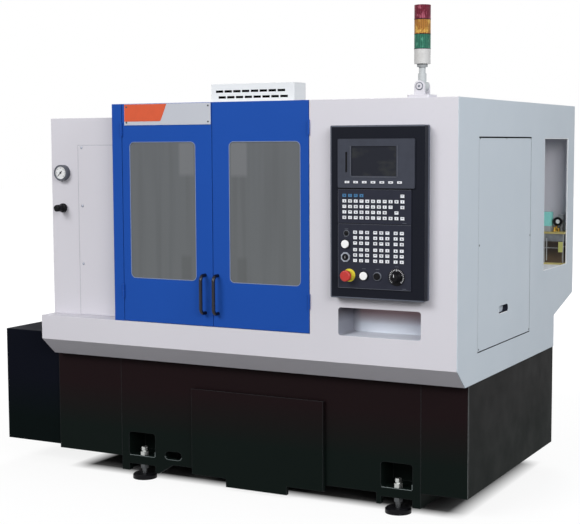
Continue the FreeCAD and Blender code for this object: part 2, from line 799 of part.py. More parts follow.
def make_chip_drawer():
    """Open chip box behind a front plate whose middle hangs lower."""
    part = new_body("chip_drawer")
    face = "base_front - drawer_proud"
    left, right = "0 - drawer_left", "0 - drawer_right"
    pad(part, "XZ", face, "drawer_proud - drawer_seat",
        polygon((left, "drawer_low"), ("0 - tongue_left", "drawer_low"), ("0 - tongue_left", "tongue_low"),
                ("0 - tongue_right", "tongue_low"), ("0 - tongue_right", "drawer_low"), (right, "drawer_low"),
                (right, "drawer_top"), (left, "drawer_top")))
    box = (f"{left} + drawer_lap + drawer_side_gap", f"{right} - drawer_lap - drawer_side_gap")
    back = "base_front - drawer_seat"
    pad(part, "XY", "drawer_clear_height", "drawer_box_height",
        rectangle(box[0], back, box[1], f"{back} + drawer_depth"))
    wall = "drawer_wall"
    pocket(part, "XY", f"drawer_clear_height + {wall}", "drawer_box_height",
           rectangle(f"{box[0]} + {wall}", back, f"{box[1]} - {wall}", f"{back} + drawer_depth - {wall}"))


def channel_outline(left, front, right, back, thick, open_side):
    """Plan of a sheet folded round three sides of a box and open on the fourth."""
    inner = {"right": ((f"{left} + {thick}"), right), "left": (left, f"{right} - {thick}")}[open_side]
    corners = [(left, front), (right, front), (right, f"{front} + {thick}"), (inner[0], f"{front} + {thick}"),
               (inner[0], f"{back} - {thick}"), (right, f"{back} - {thick}"), (right, back), (left, back)]
    if open_side == "left":
        corners = [(left, front), (right, front), (right, back), (left, back), (left, f"{back} - {thick}"),
                   (inner[1], f"{back} - {thick}"), (inner[1], f"{front} + {thick}"), (left, f"{front} + {thick}")]
    return polygon(*corners)


def make_base_panels():
    """Folded sheets round the two ends of the base."""
    left = new_body("left_base_panel")
    pad(left, "XY", "base_low", "deck_top - base_low",
        channel_outline("0 - base_panel_left", "base_front + 1", "0 - bed_left", "base_depth", "sheet", "right"))
    pad(left, "YZ", "0 - base_panel_left", "sheet",
        rectangle("cover_setback", "deck_top - 1", "cover_setback + cover_depth", "cover_top"))
    pad(left, "XY", "deck_top - sheet", "sheet",
        rectangle("0 - base_panel_left", "base_front + 1", "0 - bed_left", "base_depth"))
    pocket(left, "XY", "deck_top - sheet - 1", "sheet + 2",
           rectangle("0 - pulley_left - 2 * bed_wall", "spindle_y - shelf_width / 2",
                     "0 - pulley_left + pulley_width + 2 * bed_wall", "spindle_y + shelf_width / 2"))
    opening = "spindle_y - shelf_width / 2 - bed_wall", "spindle_y + shelf_width / 2 + bed_wall"
    pocket(left, "YZ", "0 - base_panel_left - 1", "sheet + 2",
           rectangle(opening[0], "cover_low + 2 * bed_wall", opening[1], "deck_top - bed_wall"))
    right = new_body("right_base_panel")
    pad(right, "XY", "base_low", "deck_top - base_low",
        channel_outline("0 - bed_right", "base_front + 1", "0 - sheet - 1", "base_depth", "sheet", "left"))
    pad(right, "XY", "deck_top - sheet", "sheet",
        rectangle("0 - bed_right", "base_front + 1", "0 - sheet - 1", "base_depth"))


def make_motor_cover():
    """Deep box hood over the spindle motor, open towards the base."""
    part = new_body("motor_cover")
    left, right = "0 - overall_length", "0 - base_panel_left"
    pad(part, "XY", "cover_low", "cover_top - cover_low",
        rectangle(left, "cover_setback", right, "cover_setback + cover_depth"))
    pocket(part, "YZ", f"{left} + sheet", f"{right} - ({left})",
           rectangle("cover_setback + sheet", "cover_low + sheet",
                     "cover_setback + cover_depth - sheet", "cover_top - sheet"))


# --- enclosure ----------------------------------------------------------------------------------

def skirt_profile(inner, back):
    """Section of the folded skirt, a sheet thick."""
    return polygon((back, "skirt_top"), ("0", "skirt_top"), ("0", "skirt_face"), ("slope_depth", "skirt_low"),
                   (inner, "skirt_low"), (inner, "skirt_low + sheet"), ("slope_depth + sheet / 3", "skirt_low + sheet"),
                   ("sheet", "skirt_face + sheet / 2"), ("sheet", "skirt_top - sheet"), (back, "skirt_top - sheet"))


def make_front_panel():
    """Skirt and control section front, one folded sheet with a welded tray."""
    part = new_body("front_panel")
    pad(part, "YZ", "0 - cabinet_length + sheet", "cabinet_length - 2 * sheet",
        skirt_profile("base_front + bed_wall", "housing_setback"))
    edge = "0 - right_width"
    pad(part, "XZ", "0", "sheet", rectangle(edge, "skirt_top - 1", "0 - sheet", "cabinet_height"))
    pad(part, "XY", "skirt_top - 1", "cabinet_height - skirt_top + 1",
        rectangle(edge, "0", f"{edge} + sheet", "leaf_thickness + 2 * sheet"))
    opening = rounded("0 - tray_left", "tray_low", "0 - tray_right", "tray_high", "tray_corner")
    pad(part, "XZ", "sheet - 1", "tray_depth",
        rounded("0 - tray_left - sheet", "tray_low - sheet", "0 - tray_right + sheet", "tray_high + sheet",
                "tray_corner + sheet"))
    pocket(part, "XZ", "0 - 1", "tray_depth", opening)
    margin = "3 * bezel_wall"
    pocket(part, "XZ", "0 - 1", "sheet + 2",
           rectangle(f"0 - bezel_left + {margin}", f"bezel_low + {margin}",
                     f"0 - bezel_right - {margin}", f"bezel_high - {margin}"))


def side_outline(top, *front):
    """Outline of an end sheet, with the skirt's slope in front and the overhang behind."""
    return [*front, ("0", "skirt_face"), ("slope_depth", "skirt_low"), ("base_depth - 2", "skirt_low"),
            ("base_depth - 2", "rear_low"), ("cabinet_depth", "rear_high"), ("cabinet_depth", top)]


def make_right_side():
    """Right side sheet with its access opening, the screwed panel in it and the service niche opening."""
    part = new_body("right_side_panel")
    pad(part, "YZ", "0 - sheet", "sheet", polygon(*side_outline("cabinet_height", ("0", "cabinet_height"))))
    hole = [("access_front", "access_low"), ("access_back", "access_high")]
    pad(part, "YZ", "0 - 2 * sheet", "sheet",
        rectangle("access_front - lip_width", "access_low - lip_width",
                  "access_back + lip_width", "access_high + lip_width"))
    pocket(part, "YZ", "0 - sheet", "sheet + 1", rectangle(*hole[0], *hole[1]))
    pocket(part, "YZ", "0 - 2 * sheet - 1", "sheet + 2",
           rectangle("access_front + lip_width", "access_low + lip_width",
                     "access_back - lip_width", "access_high - lip_width"))
    pocket(part, "YZ", "0 - sheet - 1", "sheet + 2",
           rectangle("niche_front", "niche_low", "niche_back", "niche_high"))
    panel = new_body("right_access_panel")
    pad(panel, "YZ", "0 - sheet", "access_thickness",
        rectangle("access_front + access_gap", "access_low + access_gap",
                  "access_back - access_gap", "access_high - access_top_gap"))
    pocket(panel, "YZ", "0 - sheet - 1", "sheet + 1",
           rounded("slot_y - slot_width / 2", "slot_z - slot_height / 2",
                   "slot_y + slot_width / 2", "slot_z + slot_height / 2", "slot_height / 2 - 1"))


def make_left_housing():
    """Set-back left housing over the spindle drive: front, left side and top in folded sheet."""
    part = new_body("left_housing")
    left, right = "0 - cabinet_length", "0 - housing_right"
    front = "housing_setback"
    steps = ((front, "housing_height"), (front, "skirt_top"), ("0", "skirt_top"))
    pad(part, "YZ", left, "sheet", polygon(*side_outline("housing_height", *steps)))
    pocket(part, "YZ", f"{left} - 1", "sheet + 2", disc("spindle_y", "spindle_z", "spindle_radius"))
    pad(part, "XZ", front, "sheet", rectangle(left, "skirt_top", right, "housing_height"))
    pad(part, "XY", "housing_height - sheet", "sheet", rectangle(left, front, right, "cabinet_depth"))
    pocket(part, "XZ", f"{front} - 1", "sheet + 2",
           rectangle("0 - left_access_seam + lip_width", "skirt_top + 2 * lip_width",
                     f"{right} - lip_width", "left_access_top - lip_width"))
    pad(part, "XZ", f"{front} - regulator_gap", "regulator_gap + 1",
        disc("0 - gauge_x", "regulator_z", "regulator_radius * 0.75"))
    panel = new_body("left_access_panel")
    pad(panel, "XZ", f"{front} - left_access_thickness", "left_access_thickness",
        rectangle("0 - left_access_seam", "skirt_top + leaf_lift", f"{right} - leaf_gap", "left_access_top"))
    for hole_x, hole_z, radius in (("gauge_x", "gauge_z", "gauge_stem"),
                                   ("gauge_x", "regulator_z", "regulator_stem")):
        pocket(part, "XZ", f"{front} - regulator_gap - 1", "regulator_gap + sheet + 2",
               disc(f"0 - {hole_x}", hole_z, f"{radius} + control_clearance"))


def make_panel_screws():
    """Low screw heads round both access panels."""
    side = new_body("panel_screws", group=True)
    PARTS.remove(side)
    inset = "lip_width / 2 + access_gap"
    rows = (f"access_low + {inset}", "(access_low + access_high) / 2", f"access_high - {inset}")
    spots = [(y, z) for z in rows for y in (f"access_front + {inset}", f"access_back - {inset}")]
    spots += [("(access_front + access_back) / 2", rows[2])]
    pad(side, "YZ", "access_thickness - sheet", "screw_head", *[disc(y, z, "screw_radius") for y, z in spots])
    front = new_body("left_panel_screws", group=True)
    PARTS.remove(front)
    edge = "0 - left_access_seam + lip_width"
    far = "0 - housing_right - lip_width"
    places = [(x, f"left_access_top - lip_width / 2 - {row} * screw_pitch") for x in (edge, far) for row in range(3)]
    pad(front, "XZ", "housing_setback - left_access_thickness - 2 * screw_head", "2 * screw_head",
        *[disc(x, z, "screw_radius") for x, z in places])
    both = doc.addObject("Part::Compound", "access_screws")
    both.Label = "access_screws"
    both.Links = [side, front]
    doc.recompute()
    PARTS.append(both)


def make_roof():
    """Roof sheet, notched behind the doors, with a hole under the vent cover."""
    part = new_body("roof_panel")
    behind = "leaf_thickness + 2 * sheet"
    pad(part, "XY", "cabinet_height - sheet", "sheet",
        polygon(("0 - housing_right + sheet", behind), ("0 - right_width + sheet", behind),
                ("0 - right_width + sheet", "sheet"), ("0 - sheet", "sheet"), ("0 - sheet", "cabinet_depth - sheet"),
                ("0 - housing_right", "cabinet_depth - sheet"), ("0 - housing_right", "housing_setback + sheet"),
                ("0 - housing_right + sheet", "housing_setback + sheet")))
    pad(part, "YZ", "0 - housing_right", "sheet",
        rectangle("housing_setback + sheet", "housing_height - sheet", "cabinet_depth - sheet",
                  "cabinet_height - sheet + 1"))
    pad(part, "XZ", behind, "sheet",
        rectangle("0 - housing_right + sheet", "cabinet_height - 4 * lip_width", "0 - right_width",
                  "cabinet_height - 1"))
    margin = "lip_width / 2"
    pocket(part, "XY", "cabinet_height - sheet - 1", "sheet + 2",
           rectangle(f"0 - vent_left + {margin}", f"vent_front + {margin}",
                     f"0 - vent_right - {margin}", f"vent_front + vent_depth - {margin}"))
    foot = "tower_foot_width / 2"
    pad(part, "XY", "cabinet_height - 1", "tower_foot_height + 1",
        rounded(f"0 - tower_x - {foot}", f"tower_y - {foot}", f"0 - tower_x + {foot}", f"tower_y + {foot}",
                "tower_ear"))
    for side in ("tower_ear_width / 2 - tower_ear", "0 - tower_ear_width / 2"):
        pad(part, "XZ", f"tower_y + {side}", "tower_ear",
            polygon(("0 - tower_x - tower_eye", "tower_low - 1"), ("0 - tower_x + tower_eye", "tower_low - 1"),
                    ("0 - tower_x + tower_eye", "tower_pivot_z"), ("0 - tower_x - tower_eye", "tower_pivot_z")))
        pad(part, "XZ", f"tower_y + {side}", "tower_ear", disc("0 - tower_x", "tower_pivot_z", "tower_eye"))
    for reach, radius in ((0, "tower_pivot_radius"), (4, "2 * tower_pivot_radius")):
        length = "tower_ear_width" if not reach else "tower_ear"
        pad(part, "XZ", f"tower_y - tower_ear_width / 2 - {reach}", length,
            disc("0 - tower_x", "tower_pivot_z", radius))


def make_vent_cover():
    """Ventilation hood on the roof with two staggered rows of slots."""
    part = new_body("roof_vent_cover")
    left, right, back = "0 - vent_left", "0 - vent_right", "vent_front + vent_depth"
    pad(part, "XY", "cabinet_height", "vent_height", rectangle(left, "vent_front", right, back))
    wall = "sheet / 2"
    pocket(part, "XY", "cabinet_height - 1", f"vent_height - {wall} + 1",
           rectangle(f"{left} + {wall}", f"vent_front + {wall}", f"{right} - {wall}", f"{back} - {wall}"))
    for row in range(2):
        low = f"vent_row_low + {row} * vent_row_gap"
        starts = [f"0 - vent_left + vent_first + {1 - row} * vent_row_shift + {index} * vent_pitch"
                  for index in range(int(size("vent_count")))]
        pocket(part, "XZ", "vent_front - 1", "vent_depth + 2",
               *[rectangle(start, low, f"{start} + vent_slot_width", f"{low} + vent_slot_height")
                 for start in starts])


def make_rear():
    """Rear sheet with its overhang, electrical cabinet, cabinet door and main switch."""
    part = new_body("rear_panel")
    back, under = "cabinet_depth", "base_depth - 2"
    pad(part, "YZ", "0 - cabinet_length + sheet", "cabinet_length - 2 * sheet",
        polygon((back, "housing_height - sheet"), (back, "rear_high"), (under, "rear_low"), (under, "skirt_low"),
                (f"{under} - sheet", "skirt_low"), (f"{under} - sheet", "rear_low + sheet"),
                (f"{back} - sheet", "rear_high + sheet"), (f"{back} - sheet", "housing_height - sheet")))
    pad(part, "XZ", f"{back} - sheet", "sheet",
        rectangle("0 - housing_right", "housing_height - sheet - 1", "0 - sheet", "cabinet_height"))
    left, right = "0 - cabinet_left + cabinet_lip", "0 - niche_width - 2 * sheet - cabinet_lip"
    pocket(part, "XZ", f"{back} - sheet - 1", "sheet + 2",
           rectangle(left, "cabinet_low + cabinet_lip", right, "cabinet_high - cabinet_lip"))
    make_electrical_cabinet()
    door = new_body("cabinet_door")
    lap = "cabinet_door_lap"
    pad(door, "XZ", back, "cabinet_door_thickness",
        rectangle(f"{left} - {lap}", f"cabinet_low + cabinet_lip - {lap}",
                  f"{right} + {lap}", f"cabinet_high - cabinet_lip + {lap}"))
    pocket(door, "XZ", f"{back} - 1", "cabinet_door_thickness - sheet + 1",
           rectangle(f"{left} - {lap} + sheet", f"cabinet_low + cabinet_lip - {lap} + sheet",
                     f"{right} + {lap} - sheet", f"cabinet_high - cabinet_lip + {lap} - sheet"))
    hinge_x, hinge_y = f"{left} - {lap} - rear_knuckle - 0.5", f"{back} + rear_knuckle + 0.5"
    for low in ("rear_hinge_low", "rear_hinge_high"):
        length = "knuckle_length / 2 - knuckle_clearance"
        high = f"{low} + knuckle_length / 2"
        pad(door, "XY", low, length, rectangle(hinge_x, f"{hinge_y} - 2", f"{left} - {lap} + 1", f"{hinge_y} + 2"))
        pad(door, "XY", low, length, disc(hinge_x, hinge_y, "rear_knuckle"))
        pocket(door, "XY", f"{low} - 1", f"{length} + 2", disc(hinge_x, hinge_y, "pin_radius + running_clearance"))
        pad(part, "XY", high, length, rectangle(f"{hinge_x} - 2", f"{back} - 1", f"{hinge_x} + 2", hinge_y))
        pad(part, "XY", high, length, disc(hinge_x, hinge_y, "rear_knuckle"))
        pad(part, "XY", low, "knuckle_length / 2 + 1", disc(hinge_x, hinge_y, "pin_radius"))
    switch = new_body("main_switch")
    middle = f"{right} - switch_inset"
    face = f"{back} + cabinet_door_thickness"
    pad(switch, "XZ", face, "switch_height / 3", disc(middle, "switch_z", "switch_radius"))
    pad(switch, "XZ", f"{face} + switch_height / 3 - 1", "switch_height * 2 / 3 + 1",
        rounded(f"{middle} - switch_radius / 4", "switch_z - switch_radius * 0.85",
                f"{middle} + switch_radius / 4", "switch_z + switch_radius * 0.85", "switch_radius / 5"))


def make_electrical_cabinet():
    """Cabinet tray behind the rear door, with the shelf and wall of the service niche beside it."""
    part = new_body("electrical_cabinet")
    left, right = "0 - cabinet_left", "0 - niche_width - 2 * sheet"
    front, back = "cabinet_depth - sheet - cabinet_recess", "cabinet_depth - sheet"
    pad(part, "XZ", front, "cabinet_recess", rectangle(left, "cabinet_low", right, "cabinet_high"))
    pocket(part, "XZ", f"{front} + sheet", "cabinet_recess",
           rectangle(f"{left} + sheet", "cabinet_low + sheet", f"{right} - sheet", "cabinet_high - sheet"))
    shelf = "niche_low - 2 * sheet"
    niche_front = "niche_front - lip_width"
    pad(part, "XY", shelf, "sheet", rectangle(f"{right} - 1", niche_front, "0 - sheet", back))
    pad(part, "XZ", niche_front, "sheet", rectangle(f"{right} - sheet", shelf, "0 - sheet", "cabinet_high"))
    pad(part, "YZ", f"{right} - sheet", "sheet", rectangle(niche_front, shelf, f"{front} + 1", "cabinet_high"))


def make_lubricator():
    """Oil tank with its flange, and the pump head with its pressure gauge."""
    tank = new_body("lubricator_tank")
    left, right = "0 - tank_right - tank_width", "0 - tank_right"
    front, back = "tank_back - tank_depth", "tank_back"
    low = "niche_low - sheet"
    body = pad(tank, "XY", low, "tank_height", rectangle(left, front, right, back))
    soften(tank, body, "tank_flange", along((0, 0, 1)))
    pump = new_body("lubricator_pump")
    top = f"{low} + tank_height"
    lap = "tank_flange / 2"
    pad(pump, "XY", top, "tank_flange", rectangle(f"{left} - {lap}", f"{front} - {lap}", f"{right} + {lap}",
                                                 f"{back} + {lap}"))
    pad(pump, "XY", f"{top} + tank_flange - 1", "pump_height + 1",
        rectangle(f"{left} + tank_flange", f"{front} + {lap}", f"{left} + tank_flange + pump_width",
                  f"{front} + {lap} + pump_width"))
    stem_x, stem_y = f"{right} - 30", f"{back} - 32"
    pad(pump, "XY", f"{top} + tank_flange - 1", "pump_height / 2", disc(stem_x, stem_y, "gauge_stem"))
    dial_z = f"{top} + tank_flange + pump_height / 2 + 14"
    pad(pump, "YZ", f"{stem_x} - 14", "28", disc(stem_y, dial_z, "pump_dial_radius"))


def slope_point(up_slope, off_face):
    """Machine Y and Z of a point given up the slope and off the slanted face."""
    return (f"bed_point_y + ({up_slope}) * cos(slant * 1 deg) - ({off_face}) * sin(slant * 1 deg)",
            f"bed_point_z + ({up_slope}) * sin(slant * 1 deg) + ({off_face}) * cos(slant * 1 deg)")


def make_chip_guard():
    """Folded inner sheet: left, rear and right walls of the working chamber."""
    part = new_body("chip_guard")
    left, right, back = "0 - guard_left", "0 - guard_right", "guard_back"
    front = "leaf_thickness + 3 * sheet"
    pad(part, "XY", "deck_top", "cabinet_height - sheet - deck_top",
        polygon((left, front), (f"{left} + sheet", front), (f"{left} + sheet", f"{back} - sheet"),
                (f"{right} - sheet", f"{back} - sheet"), (f"{right} - sheet", front), (right, front),
                (right, back), (left, back)))
    pocket(part, "YZ", f"{left} - 1", "guard_left - guard_right + 2",
           polygon((f"{front} - 1", "deck_top - 1"), (f"{front} - 1", "skirt_top"), ("housing_setback", "skirt_top"),
                   ("housing_setback", "skirt_low + sheet"), ("base_front + bed_wall", "skirt_low + sheet"),
                   ("base_front + bed_wall", "deck_top - 1")))
    gap = "guard_gap"
    low, high = slope_point(f"0 - bed_reach_down - {gap}", gap), slope_point("bed_reach_up", gap)
    side = f"headstock_width / 2 + {gap}"
    top = f"headstock_top + {gap}"
    back = f"{high[0]} + bed_back + 2 * {gap}"
    pocket(part, "YZ", f"{left} - 1", "sheet + 2",
           polygon((low[0], "deck_top - 1"), low, slope_point(f"0 - ({side})", gap),
                   slope_point(f"0 - ({side})", top), slope_point(side, top), slope_point(side, gap), high,
                   (back, high[1]), (back, "deck_top - 1")))


# --- doors --------------------------------------------------------------------------------------

def make_post():
    """Fixed post beside the left door, closed back to the housing."""
    part = new_body("door_post")
    left, right = "0 - housing_right", "0 - post_right"
    back = "housing_setback + sheet"
    pad(part, "XY", "skirt_top", "cabinet_height - skirt_top",
        polygon((left, "0"), (right, "0"), (right, "leaf_thickness"), (f"{right} - sheet", "leaf_thickness"),
                (f"{right} - sheet", "sheet"), (f"{left} + sheet", "sheet"), (f"{left} + sheet", back),
                (left, back)))


def knuckles(part, hinge_x, offset, side_x, pin):
    """Hinge knuckles on one part, at the two hinge heights, with their leaves back into the gap."""
    for height in ("hinge_low", "hinge_high"):
        low = f"{height} + {offset}"
        length = "knuckle_length / 2 - knuckle_clearance"
        pad(part, "XY", low, length, disc(hinge_x, "hinge_y", "knuckle_radius"))
        edge = sorted((side_x, f"{side_x} + hinge_leaf * ({hinge_way(hinge_x, side_x)})"), key=number)
        pad(part, "XY", low, length, rectangle(edge[0], "hinge_y", edge[1], "hinge_leaf_depth"))
        if pin:
            pad(part, "XY", height, "knuckle_length / 2 + 1", disc(hinge_x, "hinge_y", "pin_radius"))
        else:
            pocket(part, "XY", f"{low} - 1", f"{length} + 2",
                   disc(hinge_x, "hinge_y", "pin_radius + running_clearance"))


def hinge_way(hinge_x, side_x):
    return "1" if number(hinge_x) > number(side_x) else "0 - 1"


def make_door(name, left, right, hinge_x, hinge_side):
    """One door leaf: folded tray skin with a window opening and its half of the hinges."""
    part = new_body(name, group=True)
    pad(part, "XY", "leaf_low", "cabinet_height - leaf_low", rectangle(left, "0", right, "leaf_thickness"))
    pocket(part, "XZ", "skin", "leaf_thickness",
           rectangle(f"{left} + skin", "leaf_low + skin", f"{right} - skin", "cabinet_height - skin"))
    window = window_edges(left, right, hinge_side)
    top = "window_low + window_height"
    lap = "window_lap"
    pad(part, "XZ", "skin - 0.5", "window_glass + 0.5",
        rectangle(f"{window[0]} - {lap} - skin", f"window_low - {lap} - skin", f"{window[1]} + {lap} + skin",
                  f"{top} + {lap} + skin"))
    pocket(part, "XZ", "skin", "leaf_thickness",
           rectangle(f"{window[0]} - {lap}", f"window_low - {lap}", f"{window[1]} + {lap}", f"{top} + {lap}"))
    pocket(part, "XZ", "0 - 1", "leaf_thickness",
           rounded(window[0], "window_low", window[1], top, "window_corner"))
    knuckles(part, hinge_x, "0", right if hinge_side == "right" else left, False)
    return window


def window_edges(left, right, hinge_side):
    if hinge_side == "right":
        return (f"{right} - window_margin - window_width", f"{right} - window_margin")
    return (f"{left} + window_margin", f"{left} + window_margin + window_width")


def make_doors():
    doors = (("left", "0 - door_left", "0 - door_seam_left", "left_hinge_x", "left"),
             ("right", "0 - door_seam_right", "0 - door_right", "right_hinge_x", "right"))
    for side, left, right, hinge_x, hinge_side in doors:
        window = make_door(side + "_door", left, right, hinge_x, hinge_side)
        glass = new_body(side + "_window")
        lap = "window_lap - control_clearance"
        pad(glass, "XZ", "skin", "window_glass",
            rectangle(f"{window[0]} - ({lap})", f"window_low - ({lap})", f"{window[1]} + {lap}",
                      f"window_low + window_height + {lap}"))
        edge = f"{right} - handle_inset_left" if side == "left" else f"{left} + handle_inset_right"
        make_handle(side + "_handle", edge)
    hinges = new_body("door_hinges", group=True)
    for hinge_x, side_x in (("left_hinge_x", "0 - post_right"), ("right_hinge_x", "0 - right_width")):
        knuckles(hinges, hinge_x, "knuckle_length / 2", side_x, True)
    plate = new_body("nameplate")
    right = "0 - door_seam_left - leaf_gap"
    pad(plate, "XZ", "0 - plate_thickness", "plate_thickness",
        rectangle(f"{right} - plate_width", "cabinet_height - leaf_lift - plate_height", right,
                  "cabinet_height - leaf_lift"))
    inset = "plate_inset"
    pad(plate, "XZ", "0 - plate_thickness - rivet_height", "rivet_height + 0.5",
        *[disc(x, z, "rivet_radius")
          for x in (f"{right} - {inset}", f"{right} - plate_width + {inset}")
          for z in (f"cabinet_height - leaf_lift - {inset}", f"cabinet_height - leaf_lift - plate_height + {inset}")])


def make_handle(name, middle):
    """Round D handle: a bar with two bent ends that meet the door's face."""
    part = doc.addObject("Part::Feature", name)
    part.Label = name
    x, radius = number(middle), size("handle_radius")
    low, high, reach = size("handle_low") + radius, size("handle_high") - radius, size("handle_reach")
    out, bend = radius - reach, 3 * radius
    turn = bend * (1 - math.cos(math.pi / 4))
    edges = [Part.LineSegment(V(x, 0, low), V(x, out + bend, low)),
             Part.Arc(V(x, out + bend, low), V(x, out + turn, low + turn), V(x, out, low + bend)),
             Part.LineSegment(V(x, out, low + bend), V(x, out, high - bend)),
             Part.Arc(V(x, out, high - bend), V(x, out + turn, high - turn), V(x, out + bend, high)),
             Part.LineSegment(V(x, out + bend, high), V(x, 0, high))]
    path = Part.Wire([edge.toShape() for edge in edges])
    ring = Part.Wire([Part.Circle(V(x, 0, low), V(0, 1, 0), radius).toShape()])
    part.Shape = path.makePipeShell([ring], True, False)
    place(part)
    doc.recompute()
    PARTS.append(part)


# --- spindle drive ------------------------------------------------------------------------------

def make_slant_bed():
    """Cast bed whose face slopes at the slant angle, hollow from below."""
    part = new_body("slant_bed")
    low, high = slope_point("0 - bed_reach_down", "0"), slope_point("bed_reach_up", "0")
    back, left, wall = f"{high[0]} + bed_back", "0 - bed_left", "casting_wall"
    pad(part, "YZ", left, "bed_left - bed_end",
        polygon((low[0], "deck_top"), low, high, (back, high[1]), (back, "deck_top")))
    turn = f"{wall} * (1 - cos(slant * 1 deg)) / sin(slant * 1 deg)"
    pocket(part, "YZ", f"{left} + {wall}", f"bed_left - bed_end - 2 * {wall}",
           polygon((f"{low[0]} + {wall}", "deck_top - 1"), (f"{low[0]} + {wall}", f"{low[1]} - {turn}"),
                   (f"{high[0]} + {turn}", f"{high[1]} - {wall}"), (f"{back} - {wall}", f"{high[1]} - {wall}"),
                   (f"{back} - {wall}", "deck_top - 1")))


def turned(part, centre, *steps):
    """Cylinders about a line parallel to X: start, length and radius of each."""
    for start, length, radius in steps:
        pad(part, "YZ", start, length, disc(centre[0], centre[1], radius))


def pulley(part, centre):
    """A flanged belt pulley fused to its shaft."""
    start = "0 - pulley_left"
    turned(part, centre, (start, "pulley_width", "pulley_radius"),
           (start, "belt_side - 1", "pulley_radius + belt_thickness"),
           (f"{start} + pulley_width - belt_side + 1", "belt_side - 1", "pulley_radius + belt_thickness"))


def stadium(x, low, high, radius):
    """Two half circles joined by upright sides."""
    def draw(drawing):
        cx, y0, y1, r = (number(value) for value in (x, low, high, radius))
        axis = V(0, 0, 1)
        left = drawing.addGeometry(Part.LineSegment(V(cx - r, y1, 0), V(cx - r, y0, 0)))
        bottom = drawing.addGeometry(Part.ArcOfCircle(Part.Circle(V(cx, y0, 0), axis, r), math.pi, 2 * math.pi))
        right = drawing.addGeometry(Part.LineSegment(V(cx + r, y0, 0), V(cx + r, y1, 0)))
        top = drawing.addGeometry(Part.ArcOfCircle(Part.Circle(V(cx, y1, 0), axis, r), 0, math.pi))
        for first, second in ((left, bottom), (bottom, right), (right, top), (top, left)):
            tie("Tangent", first, 2, second, 1)
        tie("Equal", top, bottom)
        constrain("Radius", top, radius)
        put_point(top, 3, x, high)
        put_point(bottom, 3, x, low)
    return draw


def make_headstock():
    """Headstock casting with the spindle bore and a rear bearing cap."""
    part = new_body("headstock", tilted=True)
    half = "headstock_width / 2"
    block = pad(part, "XY", "0", "headstock_top",
                rectangle("0 - headstock_left", f"0 - {half}", "0 - nose_left", half))
    top = number("headstock_top")
    soften(part, block, "casting_wall / 2", lambda edge: along((1, 0, 0))(edge) and abs(edge.BoundBox.ZMin - top) < 0.01)
    pad(part, "YZ", "0 - headstock_left - bearing_cap", "bearing_cap + 1", disc("0", "spindle_height", "cap_radius"))
    pocket(part, "YZ", "0 - headstock_left - bearing_cap - 1", "headstock_left - nose_left + bearing_cap + 2",
           disc("0", "spindle_height", "spindle_radius + running_clearance"))


def make_spindle():
    """Spindle with its nose flange, lock nut and belt pulley, bored through; and the collet chuck on it."""
    part = new_body("spindle")
    centre = ("spindle_y", "spindle_z")
    cap = "0 - headstock_left - bearing_cap"
    turned(part, centre, ("0 - nose_left", "nose_length", "nose_radius"),
           (f"{cap} - lock_nut_width - control_clearance",
            "headstock_left + bearing_cap + lock_nut_width + control_clearance - nose_left", "spindle_radius"),
           (f"{cap} - lock_nut_width - control_clearance", "lock_nut_width", "cap_radius - 10"),
           ("0 - spindle_left", "spindle_left - headstock_left - bearing_cap", "spindle_radius - 5"))
    pulley(part, centre)
    pocket(part, "YZ", "0 - spindle_left - 1", "spindle_left - nose_left + nose_length + 2",
           disc(*centre, "spindle_bore"))
    chuck = new_body("collet_chuck")
    face = "0 - nose_left + nose_length"
    turned(chuck, centre, (face, "chuck_length * 2 / 3", "chuck_radius"),
           (f"{face} + chuck_length * 2 / 3", "chuck_length / 3", "chuck_radius * 0.75"))
    pocket(chuck, "YZ", f"{face} - 1", "chuck_length + 2", disc(*centre, "spindle_bore * 0.75"))


def make_motor():
    """Belt, motor rotor with its pulley, and the motor's body on the shelf."""
    belt = new_body("drive_belt")
    inner = "pulley_radius + belt_gap"
    pad(belt, "YZ", "0 - pulley_left + belt_side", "pulley_width - 2 * belt_side",
        stadium("spindle_y", "motor_z", "spindle_z", f"{inner} + belt_thickness"),
        stadium("spindle_y", "motor_z", "spindle_z", inner))
    centre = ("spindle_y", "motor_z")
    rotor = new_body("motor_rotor")
    turned(rotor, centre, ("0 - motor_right - shaft_hidden", "motor_right + shaft_hidden - pulley_left + pulley_width",
                           "motor_shaft_radius"))
    pulley(rotor, centre)
    part = new_body("spindle_motor")
    half = "motor_size / 2"
    pad(part, "YZ", "0 - motor_left", "motor_left - motor_right",
        rounded(f"spindle_y - {half}", f"motor_z - {half}", f"spindle_y + {half}", f"motor_z + {half}",
                "motor_corner"))
    pad(part, "XY", f"motor_z + {half} - 1", "terminal_height + 1",
        rectangle("0 - motor_left + motor_corner", "spindle_y - motor_size / 5",
                  "0 - motor_left + motor_corner + motor_size / 2", "spindle_y + motor_size / 5"))
    pocket(part, "YZ", "0 - motor_right - shaft_hidden - 1", "shaft_hidden + 2",
           disc(*centre, "motor_shaft_radius + running_clearance"))


# --- slides on the slanted bed ------------------------------------------------------------------

def make_z_rails():
    """Both rails of the long slide and the far bearing of its screw."""
    part = new_body("z_rails", tilted=True, group=True)
    for side in ("rail_y", "0 - rail_y"):
        pad(part, "XY", "0", "rail_height",
            rectangle("0 - rail_left", f"{side} - rail_width / 2", "0 - rail_right", f"{side} + rail_width / 2"))
    far = "0 - rail_left - bearing_length"
    pad(part, "XY", "0", "bearing_height",
        rectangle(far, "0 - bearing_width / 2", "0 - rail_left", "bearing_width / 2"))
    pocket(part, "YZ", f"{far} - 1", "bearing_length + 2",
           disc("0", "screw_axis", "z_screw_radius + running_clearance"))


